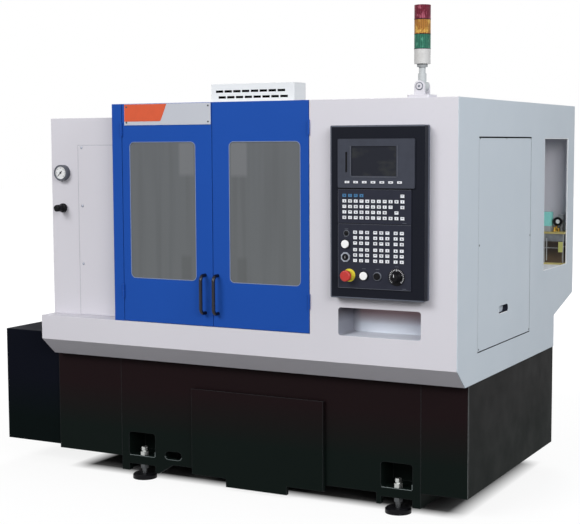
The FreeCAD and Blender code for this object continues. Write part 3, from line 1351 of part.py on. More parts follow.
def make_z_drive():
    """Long slide's screw, and its motor with the near bearing."""
    screw = new_body("z_screw", tilted=True)
    pad(screw, "YZ", "0 - rail_left - bearing_length", "rail_left + bearing_length - bed_end + screw_end",
        disc("0", "screw_axis", "z_screw_radius"))
    part = new_body("z_motor", tilted=True)
    pad(part, "XY", "0", "bearing_height",
        rectangle("0 - rail_right", "0 - bearing_width / 2", "0 - bed_end", "bearing_width / 2"))
    half = "z_motor_size / 2"
    body = rounded(f"0 - {half} + 3", f"screw_axis - {half} + 3", f"{half} - 3", f"screw_axis + {half} - 3", "12")
    pad(part, "YZ", "0 - bed_end", "10", rectangle(f"0 - {half}", f"screw_axis - {half}", half, f"screw_axis + {half}"))
    pad(part, "YZ", "0 - bed_end + 9", "z_motor_length + 1", body)
    pocket(part, "YZ", "0 - rail_right - 1", "rail_right - bed_end + screw_end + 2",
           disc("0", "screw_axis", "z_screw_radius + running_clearance"))


def make_saddle():
    """Saddle with its four rail shoes, screw nut, cross rails and the cross screw's bearings."""
    part = new_body("saddle", tilted=True)
    left, right, length = "0 - saddle_left", "0 - saddle_right", "saddle_left - saddle_right"
    pad(part, "XY", "saddle_low", "saddle_top - saddle_low", rectangle(left, "0 - saddle_down", right, "saddle_up"))
    for side in ("rail_y", "0 - rail_y"):
        half = "block_width / 2"
        pad(part, "XY", "shoe_lift", "saddle_low - shoe_lift",
            rectangle(left, f"{side} - {half}", right, f"{side} + {half}"))
        reach = "rail_width / 2 + slide_clearance"
        pocket(part, "YZ", f"{left} - 1", f"{length} + 2",
               rectangle(f"{side} - ({reach})", "shoe_lift - 1", f"{side} + {reach}", "rail_height + slide_clearance"))
    nut = "nut_size / 2"
    pad(part, "XY", "2", "saddle_low - 2",
        rectangle(f"saddle_x - {nut}", f"0 - {nut}", f"saddle_x + {nut}", nut))
    pocket(part, "YZ", f"saddle_x - {nut} - 1", "nut_size + 2",
           disc("0", "screw_axis", "z_screw_radius + running_clearance"))
    for side in ("cross_rail_x", "0 - cross_rail_x"):
        half = "cross_rail_width / 2"
        pad(part, "XY", "saddle_top", "cross_rail_height",
            rectangle(f"saddle_x + {side} - {half}", "0 - saddle_down", f"saddle_x + {side} + {half}",
                      "saddle_up - saddle_bracket"))
    axis = "saddle_top + x_screw_axis"
    pad(part, "XY", "saddle_top", "x_screw_axis + x_motor_size / 2",
        rectangle("saddle_x - x_motor_size / 2", "saddle_up - saddle_bracket", "saddle_x + x_motor_size / 2",
                  "saddle_up"))
    pad(part, "XY", "saddle_top", "2 * x_screw_axis",
        rectangle(f"saddle_x - {nut}", "0 - saddle_down", f"saddle_x + {nut}", "0 - saddle_down + saddle_bracket"))
    bore = disc("saddle_x", axis, "x_screw_radius + running_clearance")
    pocket(part, "XZ", "0 - saddle_down - 1", "saddle_bracket + 2", bore)
    pocket(part, "XZ", "saddle_up - saddle_bracket - 1", "saddle_bracket + 2", bore)


def make_x_drive():
    """Cross slide's screw and the motor above it."""
    axis = "saddle_top + x_screw_axis"
    screw = new_body("x_screw", tilted=True)
    pad(screw, "XZ", "0 - saddle_down", "saddle_down + saddle_up + screw_end", disc("saddle_x", axis, "x_screw_radius"))
    part = new_body("x_motor", tilted=True)
    half = "x_motor_size / 2"
    pad(part, "XZ", "saddle_up", "x_motor_length",
        rounded(f"saddle_x - {half}", f"{axis} - {half}", f"saddle_x + {half}", f"{axis} + {half}", "14"))
    pocket(part, "XZ", "saddle_up - 1", "screw_end + 2", disc("saddle_x", axis, "x_screw_radius + running_clearance"))


def make_cross_slide():
    """Tool table on four shoes, with its screw nut and clamping slots."""
    part = new_body("cross_slide", tilted=True)
    half, reach = "slide_half_width", "slide_half_length"
    pad(part, "XY", "slide_low", "slide_top - slide_low",
        rectangle(f"saddle_x - {half}", f"0 - {reach}", f"saddle_x + {half}", reach))
    for side in ("cross_rail_x", "0 - cross_rail_x"):
        shoe = "cross_block_width / 2"
        pad(part, "XY", "saddle_top + 4", "slide_low - saddle_top - 4",
            rectangle(f"saddle_x + {side} - {shoe}", f"0 - {reach}", f"saddle_x + {side} + {shoe}", reach))
        gap = "cross_rail_width / 2 + slide_clearance"
        pocket(part, "XZ", f"0 - {reach} - 1", f"2 * {reach} + 2",
               rectangle(f"saddle_x + {side} - ({gap})", "saddle_top + 3", f"saddle_x + {side} + {gap}",
                         "saddle_top + cross_rail_height + slide_clearance"))
    nut = "nut_size / 2"
    pad(part, "XY", "saddle_top + 2", "slide_low - saddle_top - 2",
        rectangle(f"saddle_x - {nut}", f"0 - {nut}", f"saddle_x + {nut}", nut))
    pocket(part, "XZ", f"0 - {nut} - 1", "nut_size + 2",
           disc("saddle_x", "saddle_top + x_screw_axis", "x_screw_radius + running_clearance"))
    holders = new_body("tool_holders", tilted=True, group=True)
    left = f"saddle_x - {half} + 20"
    rows = [f"({index} - (holder_count - 1) / 2) * holder_pitch" for index in range(int(size("holder_count")))]
    tip = "spindle_height"
    pad(holders, "XY", "slide_top", f"{tip} + tool_size / 2 + 18 - slide_top",
        *[rectangle(left, f"{row} - holder_width / 2", f"{left} + holder_length", f"{row} + holder_width / 2")
          for row in rows])
    pad(holders, "YZ", f"{left} - tool_overhang", "tool_overhang + 1",
        *[rectangle(f"{row} - tool_size / 2", f"{tip} - tool_size / 2", f"{row} + tool_size / 2",
                    f"{tip} + tool_size / 2") for row in rows])
    pad(holders, "XY", f"{tip} + tool_size / 2 + 17", "7",
        *[disc(f"{left} + {step} * holder_length / 4", row, "6") for row in rows for step in (1, 3)])


# --- control panel ------------------------------------------------------------------------------

CONTROLS = (("stop_x", "control_row", "stop_stem", "stop_radius"),
            ("upper_button_x", "upper_button_z", "button_stem", "white_radius"),
            ("lower_button_x", "control_row", "button_stem", "white_radius"),
            ("dark_button_x", "control_row", "button_stem", "button_radius"),
            ("upper_button_x", "key_lock_z", "button_stem", "key_lock_radius"),
            ("knob_x", "control_row", "button_stem", "knob_radius"))


def stem_holes():
    return [disc(f"0 - {x}", z, f"{stem} + control_clearance") for x, z, stem, cap in CONTROLS]


def keys(columns, row, width="key_width", height="key_height"):
    """Key tops centred on the columns of one row."""
    return [rectangle(f"{x} - {width} / 2", f"{row} - {height} / 2", f"{x} + {width} / 2", f"{row} + {height} / 2")
            for x in columns]


def make_panel():
    """Bezel box on the front sheet with the display, keypad and operator units on its face."""
    part = new_body("panel_bezel")
    box = pad(part, "XZ", "0 - bezel_depth", "bezel_depth",
              rectangle("0 - bezel_left", "bezel_low", "0 - bezel_right", "bezel_high"))
    soften(part, box, "bezel_wall * 2", along((0, 1, 0)))
    pocket(part, "XZ", "0 - bezel_depth + bezel_wall", "bezel_depth",
           rectangle("0 - bezel_left + bezel_wall", "bezel_low + bezel_wall",
                     "0 - bezel_right - bezel_wall", "bezel_high - bezel_wall"))
    pocket(part, "XZ", "0 - bezel_depth - 1", "bezel_wall + 2", *stem_holes())
    make_display()
    make_keypad()
    make_operator_panel()


def make_display():
    part = new_body("display_unit")
    face = "0 - bezel_depth - display_thickness"
    pad(part, "XZ", face, "display_thickness",
        rounded("0 - unit_left", "display_low", "0 - display_right", "display_high", "bezel_wall * 2"))
    pocket(part, "XZ", f"{face} - 1", "screen_depth + 1",
           rectangle("0 - screen_left", "screen_low", "0 - screen_right", "screen_high"))
    pocket(part, "XZ", f"{face} - 1", "screen_depth",
           rectangle("0 - card_slot_x - 4", "screen_low + 14", "0 - card_slot_x + 4", "screen_high - 23"))
    columns = [f"{index} * soft_key_pitch - soft_key_first_x" for index in range(7)]
    pad(part, "XZ", f"{face} - key_travel", "key_travel + 1",
        *keys(columns, "soft_key_z", "soft_key_width", "soft_key_height"))


def make_keypad():
    """Keypad plate with five rows of key tops on a shared pitch."""
    part = new_body("mdi_keypad")
    face = "0 - bezel_depth - keypad_thickness"
    pad(part, "XZ", face, "keypad_thickness",
        rectangle("0 - unit_left", "keypad_low", "0 - unit_right", "keypad_high"))
    missing = {0: (4, 5, 6, 7, 8, 9), 2: (9,), 3: (8, 10)}
    for row in range(5):
        columns = [f"{index} * key_pitch - key_first_x" for index in range(11) if index not in missing.get(row, ())]
        pad(part, "XZ", f"{face} - key_travel", "key_travel + 1",
            *keys(columns, f"key_top_row - {row} * key_row_pitch"))


def make_operator_panel():
    """Operator plate with key tops, collars round the buttons, the stop's ring and the knob's dial."""
    part = new_body("operator_panel")
    face = "0 - bezel_depth - keypad_thickness"
    pad(part, "XZ", face, "keypad_thickness",
        rectangle("0 - unit_left", "operator_low", "0 - unit_right", "operator_high"))
    first = "panel_key_first_x"
    groups = ((0, "0", 3), (3, "panel_key_group - panel_key_pitch", 3), (6, "2 * (panel_key_group - panel_key_pitch)", 2))
    columns = [f"{start + index} * panel_key_pitch + {shift} - {first}"
               for start, shift, count in groups for index in range(count)]
    for row in range(6):
        pad(part, "XZ", f"{face} - key_travel", "key_travel + 1",
            *keys(columns, f"panel_key_top_row - {row} * panel_row_pitch - {int(row > 2)} * panel_row_gap"))
    pad(part, "XZ", f"{face} - 2", "3", disc("0 - stop_x", "control_row", "stop_ring"),
        disc("0 - knob_x", "control_row", "dial_radius"))
    pad(part, "XZ", f"{face} - key_travel", "key_travel + 1", disc("3 - upper_button_x", "panel_key_top_row - 5", "panel_lamp_radius"))
    pad(part, "XZ", f"{face} - stop_collar", "stop_collar + 1", disc("0 - stop_x", "control_row", "stop_stem + 6"))
    rings = [(x, z, cap) for x, z, stem, cap in CONTROLS[1:4]]
    pad(part, "XZ", f"{face} - button_collar", "button_collar + 1",
        *[disc(f"0 - {x}", z, f"{cap} + 3") for x, z, cap in rings],
        *[disc(f"0 - {x}", z, f"{cap} + control_clearance") for x, z, cap in rings])
    x, z = CONTROLS[4][:2]
    turns = [math.radians(45 * index + 22.5) for index in range(8)]
    pad(part, "XZ", f"{face} - lock_collar", "lock_collar + 1",
        polygon(*[(f"key_lock_collar * {math.cos(turn):.6f} - {x}", f"{z} + key_lock_collar * {math.sin(turn):.6f}")
                  for turn in turns]),
        disc(f"0 - {x}", z, "key_lock_radius + control_clearance"))
    pocket(part, "XZ", f"{face} - stop_collar - 1", "stop_collar + keypad_thickness + 2", *stem_holes())


def make_controls():
    """Stop button, push buttons, key switch and override knob, each on a stem through the panel."""
    face = "panel_face"
    inside = "0 - bezel_depth + bezel_wall + 12"
    stop = new_body("stop_button")
    x, z, stem, cap_radius = CONTROLS[0]
    cap = pad(stop, "XZ", f"{face} - stop_height", "stop_height - stop_collar - stop_travel - 0.5",
              disc(f"0 - {x}", z, cap_radius))
    front = number(f"{face} - stop_height")
    soften(stop, cap, "5", lambda edge: abs(edge.BoundBox.YMin - front) < 0.01 and edge.BoundBox.YLength < 0.01)
    pad(stop, "XZ", f"{face} - stop_collar - stop_travel - 1", f"{inside} - ({face}) + stop_collar + stop_travel + 1",
        disc(f"0 - {x}", z, stem))
    names = ("upper_white_button", "lower_white_button", "dark_button")
    for name, (x, z, stem, cap_radius) in zip(names, CONTROLS[1:4]):
        part = new_body(name)
        cap = pad(part, "XZ", f"{face} - button_height", "button_height - button_travel - 0.5",
                  disc(f"0 - {x}", z, cap_radius))
        front = number(f"{face} - button_height")
        soften(part, cap, "1.5", lambda edge: abs(edge.BoundBox.YMin - front) < 0.01 and edge.BoundBox.YLength < 0.01)
        pad(part, "XZ", f"{face} - button_travel - 1", f"{inside} - ({face}) + button_travel + 1",
            disc(f"0 - {x}", z, stem))
    lock = new_body("key_lock")
    x, z, stem, cap_radius = CONTROLS[4]
    pad(lock, "XZ", f"{face} - lock_height", f"lock_height - control_clearance", disc(f"0 - {x}", z, cap_radius))
    pad(lock, "XZ", f"{face} - 1", f"{inside} - ({face}) + 1", disc(f"0 - {x}", z, stem))
    pocket(lock, "XZ", f"{face} - lock_height - 1", "lock_height / 2 + 1",
           rectangle(f"0 - {x} - 1.5", f"{z} - {cap_radius} / 2", f"0 - {x} + 1.5", f"{z} + {cap_radius} / 2"))
    knob = new_body("override_knob")
    x, z, stem, cap_radius = CONTROLS[5]
    pad(knob, "XZ", f"{face} - knob_height", "knob_height - dial_thickness - control_clearance",
        disc(f"0 - {x}", z, "knob_radius"))
    pad(knob, "XZ", f"{face} - dial_thickness - 1", f"{inside} - ({face}) + dial_thickness + 1",
        disc(f"0 - {x}", z, stem))
    pocket(knob, "XZ", f"{face} - knob_height - 1", "3", rectangle(f"0 - {x} - 1.5", z, f"0 - {x} + 1.5",
                                                                 f"{z} + knob_radius + 1"))


# --- fittings on the housing and roof -----------------------------------------------------------

def make_air_fittings():
    """Pressure gauge and regulator knob on the left housing."""
    front = "housing_setback"
    gauge = new_body("air_gauge")
    dial = pad(gauge, "XZ", f"{front} - gauge_depth", "gauge_depth", disc("0 - gauge_x", "gauge_z", "gauge_radius"))
    pocket(gauge, "XZ", f"{front} - gauge_depth - 1", "4", disc("0 - gauge_x", "gauge_z", "gauge_radius - 4"))
    pad(gauge, "XZ", f"{front} - 1", "sheet + 20", disc("0 - gauge_x", "gauge_z", "gauge_stem"))
    knob = new_body("regulator_knob")
    start = f"{front} - regulator_gap - regulator_length"
    pad(knob, "XZ", start, "regulator_length - control_clearance", disc("0 - gauge_x", "regulator_z", "regulator_radius"))
    pad(knob, "XZ", f"{front} - regulator_gap - 1", "regulator_gap + sheet + 20",
        disc("0 - gauge_x", "regulator_z", "regulator_stem"))


def make_signal_tower():
    """Folding pole on the roof's ears, the white foot of the lamp and its three lenses."""
    pole = new_body("tower_pole")
    x, y, pivot = "0 - tower_x", "tower_y", "tower_pivot_z"
    inner = "tower_ear_width / 2 - tower_ear - tower_clearance"
    pad(pole, "XZ", f"{y} - ({inner})", f"2 * ({inner})", disc(x, pivot, "tower_eye"))
    pad(pole, "XY", pivot, f"tower_sleeve_high - ({pivot})", disc(x, y, "tower_sleeve_radius"))
    collar = "tower_base_low - tower_collar_height"
    pad(pole, "XY", "tower_sleeve_high - 1", f"{collar} - tower_sleeve_high + 2", disc(x, y, "tower_pole_radius"))
    pad(pole, "XY", collar, "tower_collar_height", disc(x, y, "tower_collar_radius"))
    pocket(pole, "XZ", f"{y} - ({inner}) - 1", f"2 * ({inner}) + 2",
           disc(x, pivot, "tower_pivot_radius + running_clearance"))
    base = new_body("tower_base")
    pad(base, "XY", "tower_base_low", "tower_base_height", disc(x, y, "lens_radius"))
    lenses = new_body("signal_lenses")
    low = "tower_base_low + tower_base_height"
    for index in range(int(size("lens_count"))):
        start = f"{low} + {index} * lens_height"
        pad(lenses, "XY", start, "lens_height - lens_groove", disc(x, y, "lens_radius"))
        if index < size("lens_count") - 1:
            pad(lenses, "XY", f"{start} + lens_height - lens_groove", "lens_groove", disc(x, y, "lens_radius - 2"))


# --- document -----------------------------------------------------------------------------------

def check_document():
    """Stop if any object is in error or any piece has no sound shape."""
    for item in doc.Objects:
        if {"Invalid", "Error"} & set(item.State):
            raise RuntimeError(f"{item.Name} is {item.State}")
    for part in PARTS:
        if part.Shape.isNull() or not part.Shape.isValid():
            raise RuntimeError(f"{part.Label} has no sound shape")


def main():
    fill_sheets()
    for make in (make_bed_base, make_slant_bed, make_base_panels, make_motor_cover, make_levelling_feet,
                 make_chip_drawer, make_front_panel, make_right_side, make_left_housing, make_panel_screws,
                 make_roof, make_vent_cover, make_rear, make_lubricator, make_chip_guard, make_post, make_doors,
                 make_headstock, make_spindle, make_motor, make_z_rails, make_z_drive, make_saddle,
                 make_x_drive, make_cross_slide, make_panel, make_controls, make_air_fittings,
                 make_signal_tower):
        make()
    doc.recompute()
    check_document()
    os.makedirs("parts", exist_ok=True)
    for part in PARTS:
        part.Shape.exportStep(f"parts/{part.Label}.step")
    box = FreeCAD.BoundBox()
    for part in PARTS:
        box.add(part.Shape.BoundBox)
    print(len(PARTS), "pieces,", box)


main()
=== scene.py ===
"""Looks for the CNC turning lathe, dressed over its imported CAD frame.

The scene is in metres, in the frame of the CAD part: the front faces -Y and the floor is z = 0.
Places on the machine are written in millimetres of its own drawing frame, where x = 0 is the
right side sheet and y = 0 the front sheet; part_point() turns them into metres of the part.
"""
import math

import bmesh
import bpy
from mathutils import Matrix, Vector


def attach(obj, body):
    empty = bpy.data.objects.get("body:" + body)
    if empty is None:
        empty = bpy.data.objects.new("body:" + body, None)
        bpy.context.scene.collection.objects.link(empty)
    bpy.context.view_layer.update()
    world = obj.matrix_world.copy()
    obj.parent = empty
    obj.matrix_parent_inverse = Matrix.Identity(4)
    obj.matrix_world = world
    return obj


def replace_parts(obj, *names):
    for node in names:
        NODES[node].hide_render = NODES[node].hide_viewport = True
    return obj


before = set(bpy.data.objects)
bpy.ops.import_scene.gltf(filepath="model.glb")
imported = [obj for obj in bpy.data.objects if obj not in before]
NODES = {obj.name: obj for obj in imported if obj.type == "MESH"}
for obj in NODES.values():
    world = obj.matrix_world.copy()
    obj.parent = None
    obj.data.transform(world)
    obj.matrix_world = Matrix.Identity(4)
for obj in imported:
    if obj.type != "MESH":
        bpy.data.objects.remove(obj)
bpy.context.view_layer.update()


# --- places of the drawing frame, in millimetres ------------------------------------------------

ORIGIN_X, ORIGIN_Y = -1184, 779         # where the part's own origin lies

# Operator station: centres (x, z) of the controls, and the fronts (y) of the units.
STOP, LOWER_WHITE, DARK, OVERRIDE = (-436, 1002), (-372, 1002), (-314, 1002), (-232, 1002)
UPPER_WHITE, KEY_LOCK, PANEL_LAMP = (-452, 1126), (-452, 1074), (-449, 1169)
PANEL_FRONT, DISPLAY_FRONT = -57, -60
KEY_WIDTH, KEY_HEIGHT = 18, 14
LEGEND_RISE = 2.9                       # how far a legend stands before its unit's front

GAUGE, REGULATOR = (-1957, 1396), (-1957, 1235)     # centres (x, z) on the left housing
TOWER_X, TOWER_Y = -176, 60                         # upright axis of the signal tower


def part_point(x, y, z):
    """A point of the drawing frame as a point of the part."""
    return Vector(((x - ORIGIN_X) / 1000, (y - ORIGIN_Y) / 1000, z / 1000))


# --- materials ----------------------------------------------------------------------------------

BEVEL_SAMPLES = 4
# Indexes of a Mix node's sockets for colours: its sockets for numbers have the same names.
MIX_FACTOR, MIX_FIRST, MIX_SECOND, MIX_RESULT = 0, 6, 7, 2
# Cosine between the rounded and the flat normal, where the lighter edge line starts and where it is full; the
# line is partly rubbed paint, partly a painted highlight.
EDGE_LINE_START, EDGE_LINE_FULL = 0.985, 0.8


def srgb(*levels):
    """A colour as seen on a screen, 0 to 255, as the linear colour that a shader takes."""
    return tuple(((v / 255 + 0.055) / 1.055) ** 2.4 if v > 10 else v / 255 / 12.92
                 for v in levels) + (1,)


def scaled(colour, factor):
    """A lighter or darker colour."""
    return tuple(min(1.0, v * factor) for v in colour[:3]) + (1,)


class Shader:
    """A node material with one Principled shader, and short ways to add what feeds it."""

    def __init__(self, name, colour, rough, edge=0.0015, **sockets):
        self.material = bpy.data.materials.new(name)
        self.material.use_nodes = True
        self.tree = self.material.node_tree
        self.main = self.tree.nodes["Principled BSDF"]
        self.colour = colour
        self.main.inputs["Base Color"].default_value = colour
        self.main.inputs["Roughness"].default_value = rough
        for socket, value in sockets.items():
            self.main.inputs[socket.replace("_", " ")].default_value = value
        self.place = self.node("ShaderNodeTexCoord").outputs["Object"]
        self.mixed = None
        self.normal = None
        if edge:
            rounded = self.node("ShaderNodeBevel", samples=BEVEL_SAMPLES)
            rounded.inputs["Radius"].default_value = edge
            self.normal = rounded.outputs["Normal"]
            self.link(self.normal, self.main.inputs["Normal"])

    def node(self, kind, **values):
        """A new node with its settings."""
        made = self.tree.nodes.new(kind)
        for key, value in values.items():
            setattr(made, key, value)
        return made

    def link(self, out, into):
        """Joins an output to an input."""
        self.tree.links.new(out, into)

    def noise(self, scale, detail, rough=0.5, stretch=None):
        """Noise over the shaded point's place; stretch scales that place per axis."""
        texture = self.node("ShaderNodeTexNoise")
        texture.inputs["Scale"].default_value = scale
        texture.inputs["Detail"].default_value = detail
        texture.inputs["Roughness"].default_value = rough
        if stretch:
            mapping = self.node("ShaderNodeMapping")
            mapping.inputs["Scale"].default_value = stretch
            self.link(self.place, mapping.inputs["Vector"])
            self.link(mapping.outputs["Vector"], texture.inputs["Vector"])
        else:
            self.link(self.place, texture.inputs["Vector"])
        return texture.outputs["Fac"]

    def spread(self, source, low, high, start=0.0, end=1.0):
        """Goes from start to end while the source goes from low to high, and stays there."""
        ramp = self.node("ShaderNodeMapRange")
        for socket, value in (("From Min", low), ("From Max", high),
                              ("To Min", start), ("To Max", end)):
            ramp.inputs[socket].default_value = value
        self.link(source, ramp.inputs["Value"])
        return ramp.outputs["Result"]

    def along(self, axis):
        """A coordinate of the shaded point in metres."""
        split = self.node("ShaderNodeSeparateXYZ")
        self.link(self.place, split.inputs["Vector"])
        return split.outputs[axis]

    def calc(self, operation, first, second=None):
        """A Math node on numbers or sockets."""
        made = self.node("ShaderNodeMath", operation=operation)
        for socket, value in zip(made.inputs, (first, second)):
            if isinstance(value, (int, float)):
                socket.default_value = value
            elif value is not None:
                self.link(value, socket)
        return made.outputs[0]

    def zone(self, axis, low, high, soft):
        """1 between two coordinates and 0 outside them, with soft edges."""
        place = self.along(axis)
        return self.calc("MULTIPLY", self.spread(place, low - soft, low + soft),
                         self.spread(place, high + soft, high - soft))

    def tint(self, factor, colour):
        """Mixes another colour in where factor is 1."""
        mix = self.node("ShaderNodeMix", data_type="RGBA")
        if self.mixed is None:
            mix.inputs[MIX_FIRST].default_value = self.colour
        else:
            self.link(self.mixed, mix.inputs[MIX_FIRST])
        mix.inputs[MIX_SECOND].default_value = colour
        self.link(factor, mix.inputs[MIX_FACTOR])
        self.mixed = mix.outputs[MIX_RESULT]
        self.link(self.mixed, self.main.inputs["Base Color"])
        return self

    def rubbed_and_highlit(self, colour, amount, radius=0.004):
        """A thin lighter line along sharp edges: partly rubbed paint, partly a painted highlight."""
        wide = self.node("ShaderNodeBevel", samples=BEVEL_SAMPLES)
        wide.inputs["Radius"].default_value = radius
        flat = self.node("ShaderNodeNewGeometry").outputs["Normal"]
        dot = self.node("ShaderNodeVectorMath", operation="DOT_PRODUCT")
        self.link(wide.outputs["Normal"], dot.inputs[0])
        self.link(flat, dot.inputs[1])
        edge_line = self.spread(dot.outputs["Value"], EDGE_LINE_START, EDGE_LINE_FULL, 0, amount)
        return self.tint(edge_line, colour)

    def roughness(self, factor, low, high):
        """Lets the roughness follow a noise between two values."""
        self.link(self.spread(factor, 0.3, 0.7, low, high), self.main.inputs["Roughness"])
        return self

    def bump(self, height, distance):
        """Relief on top of the rounded edges, with its depth in metres."""
        bump = self.node("ShaderNodeBump")
        bump.inputs["Distance"].default_value = distance
        self.link(height, bump.inputs["Height"])
        if self.normal is not None:
            self.link(self.normal, bump.inputs["Normal"])
        self.normal = bump.outputs["Normal"]
        self.link(self.normal, self.main.inputs["Normal"])
        return self


def painted(name, colour, rough=0.42, vary=0.04, peel=0.00004, gloss=0.12, edge=0.003):
    """Powder-coated sheet: a little uneven in colour, with a fine orange peel and lighter bends that are
    partly rubbed paint and partly a painted highlight.
    """
    s = Shader(name, colour, rough, edge, Specular_IOR_Level=gloss)
    s.tint(s.spread(s.noise(1.3, 4), 0.35, 0.7), scaled(colour, 1 - vary))
    s.tint(s.spread(s.noise(60, 3), 0.62, 0.75, 0, 0.4), scaled(colour, 1 - 1.5 * vary))
    s.rubbed_and_highlit(scaled(colour, 1.35), 0.5)
    s.roughness(s.noise(7, 3), rough - 0.05, rough + 0.07)
    return s.bump(s.noise(420, 2), peel)


def black_paint(name, upper, lower, gloss=0.035, rubbed_and_highlit=(58, 60, 62)):
    """Dark structure paint with a painted cast of light: warm near the top and cooler towards the floor, with
    random lighter mottles and lighter edges, partly rubbed paint and partly a painted highlight.
    """
    s = Shader(name, upper, 0.42, 0.004, Specular_IOR_Level=gloss)
    s.tint(s.spread(s.along("Z"), 0.42, 0.22), lower)
    s.tint(s.spread(s.noise(0.9, 2), 0.5, 0.85, 0, 0.15), scaled(lower, 1.3))
    s.tint(s.spread(s.noise(240, 2), 0.66, 0.76, 0, 0.2), srgb(40, 42, 41))
    s.rubbed_and_highlit(srgb(*rubbed_and_highlit), 0.75, 0.005)
    s.roughness(s.noise(9, 4), 0.38, 0.52)
    return s.bump(s.noise(520, 3), 0.00006)


def bezel_paint(name, colour):
    """Enamel of the operator station, with a painted highlight on the rounded edges outside its flat front."""
    s = painted(name, colour, 0.36, 0.08, gloss=0.05, edge=0.005)
    low, high = part_point(-517, 0, 914), part_point(-110, 0, 1589)
    flat = s.calc("MULTIPLY", s.zone("X", low.x, high.x, 0.001),
                  s.zone("Z", low.z, high.z, 0.001))
    return s.tint(s.spread(flat, 1, 0, 0, 0.6), srgb(118, 123, 136))


def bezel_side_paint(name, colour):
    """A lighter copy of the enamel for the side of the operator station, as painted light, with a painted
    highlight strip at the rear.
    """
    s = painted(name, colour, 0.36, 0.08, gloss=0.05)
    rear = s.spread(s.along("Y"), part_point(0, -20, 0).y, part_point(0, -14, 0).y, 0, 0.85)
    return s.tint(rear, srgb(96, 100, 112))


def tray_paint(name, colour):
    """Sheet of the tray under the operator station, a lighter and cooler copy of the white sheet paint as
    painted light, with painted shade: greyer at its top and at its left end, darkest where the two meet.
    """
    s = painted(name, colour, 0.45)
    s.tint(s.spread(s.along("Z"), 0.782, 0.832), srgb(176, 152, 154))
    end = s.spread(s.along("X"), part_point(-476, 0, 0).x, part_point(-512, 0, 0).x)
    s.tint(end, srgb(156, 159, 170))
    return s.tint(s.calc("MULTIPLY", end, s.spread(s.along("Z"), 0.80, 0.845)),
                  srgb(98, 96, 102))


def metal(name, colour, rough=0.3, stretch=(1, 1, 14), lines=0.08):
    """Ground or brushed metal with fine lines across the stretched axis."""
    s = Shader(name, colour, rough, Metallic=1.0)
    s.tint(s.spread(s.noise(110, 5, 0.6, stretch), 0.4, 0.65), scaled(colour, 1 - lines * 2))
    s.roughness(s.noise(60, 4, 0.5, stretch), rough - 0.06, rough + 0.1)
    return s.bump(s.noise(300, 3, 0.5, stretch), 0.00002)


def casting(name, colour):
    """Painted casting: rougher, slightly mottled, with lighter edges that are partly rubbed paint and partly a
    painted highlight.
    """
    s = Shader(name, colour, 0.5, 0.003, Specular_IOR_Level=0.4)
    s.tint(s.spread(s.noise(6, 5), 0.4, 0.7), scaled(colour, 0.82))
    s.rubbed_and_highlit(scaled(colour, 1.5), 0.6)
    s.roughness(s.noise(20, 4), 0.42, 0.62)
    return s.bump(s.noise(140, 4), 0.00025)


def plastic(name, colour, rough=0.35, vary=0.04, grain=0.00003, gloss=0.4, edge=0.0008):
    """Moulded plastic with a fine grain."""
    s = Shader(name, colour, rough, edge, Specular_IOR_Level=gloss)
    s.tint(s.spread(s.noise(35, 3), 0.4, 0.7), scaled(colour, 1 - vary))
    s.roughness(s.noise(25, 3), rough - 0.04, rough + 0.08)
    return s.bump(s.noise(900, 2), grain)


def window_shader(name, bright, dim):
    """Smoky laminated window, close to opaque from outside.

    Two forms show faintly on it: bright and dim are (left, right, low, high) of a painted
    reflection that is lighter, and of a form behind the glass that is darker than the glass.
    """
    s = Shader(name, srgb(95, 98, 101), 0.2, 0, Specular_IOR_Level=0.25)
    s.tint(s.spread(s.along("Z"), 1.5, 0.95, 0, 0.5), srgb(99, 102, 103))
    s.tint(s.spread(s.noise(5.0, 2, 0.4, (5, 1, 0.25)), 0.45, 0.7, 0, 0.6), srgb(88, 90, 92))
    for area, colour, amount in ((bright, srgb(112, 114, 117), 0.8), (dim, srgb(84, 86, 87), 0.6)):
        left, right, low, high = area
        start, end = part_point(left, 0, low), part_point(right, 0, high)
        both = s.calc("MULTIPLY", s.zone("X", start.x, end.x, 0.006),
                      s.zone("Z", start.z, end.z, 0.01))
        s.tint(s.calc("MULTIPLY", both, amount), colour)
    return s.bump(s.noise(5, 2), 0.0002)


def screen_shader():
    """Switched-off screen with a faint cloudy reflection."""
    s = Shader("screen_glass", srgb(34, 36, 44), 0.25, 0, Specular_IOR_Level=0.1)
    s.tint(s.spread(s.noise(9, 3, 0.5, (1, 1, 2)), 0.46, 0.7), srgb(58, 60, 58))
    return s.bump(s.noise(40, 2), 0.00001)


def tank_shader():
    """Smoky tank with brown oil up to its middle."""
    oil_top = (1.046, 1.042)
    s = Shader("tank_plastic", srgb(128, 132, 134), 0.2, 0.002, Coat_Weight=0.2)
    s.tint(s.spread(s.noise(18, 3), 0.45, 0.65, 0, 0.6), srgb(70, 74, 80))
    s.tint(s.spread(s.along("Z"), *oil_top), srgb(84, 66, 44))
    dark_oil = s.calc("MULTIPLY", s.spread(s.noise(22, 3), 0.32, 0.52),
                      s.spread(s.along("Z"), 0.94, 1.0))
    s.tint(s.calc("MULTIPLY", dark_oil, s.spread(s.along("Z"), *oil_top)), srgb(46, 36, 26))
    return s.bump(s.noise(200, 2), 0.00002)


def lens_shader(name, colour, light):
    """Ribbed signal lens: upright ribs round the lamp, with painted highlights in lighter patches and painted
    shade on one half of each rib.
    """
    ribs_per_radian = 28.0
    s = Shader(name, colour, 0.3, 0.001, Specular_IOR_Level=0.12)
    s.tint(s.spread(s.noise(60, 3, 0.5, (1, 1, 0.6)), 0.52, 0.64), light)
    axis = part_point(TOWER_X, TOWER_Y, 0)
    turn = s.calc("ARCTAN2", s.calc("SUBTRACT", s.along("Y"), axis.y),
                  s.calc("SUBTRACT", s.along("X"), axis.x))
    ribs = s.calc("SINE", s.calc("MULTIPLY", turn, ribs_per_radian))
    s.tint(s.spread(ribs, 0.0, 1.0, 0, 0.55), scaled(colour, 0.45))
    return s.bump(ribs, 0.0007)


mats = {}


def use(name, shader):
    """Keeps a material under the short name that dress() and build() know it by."""
    mats[name] = shader.material


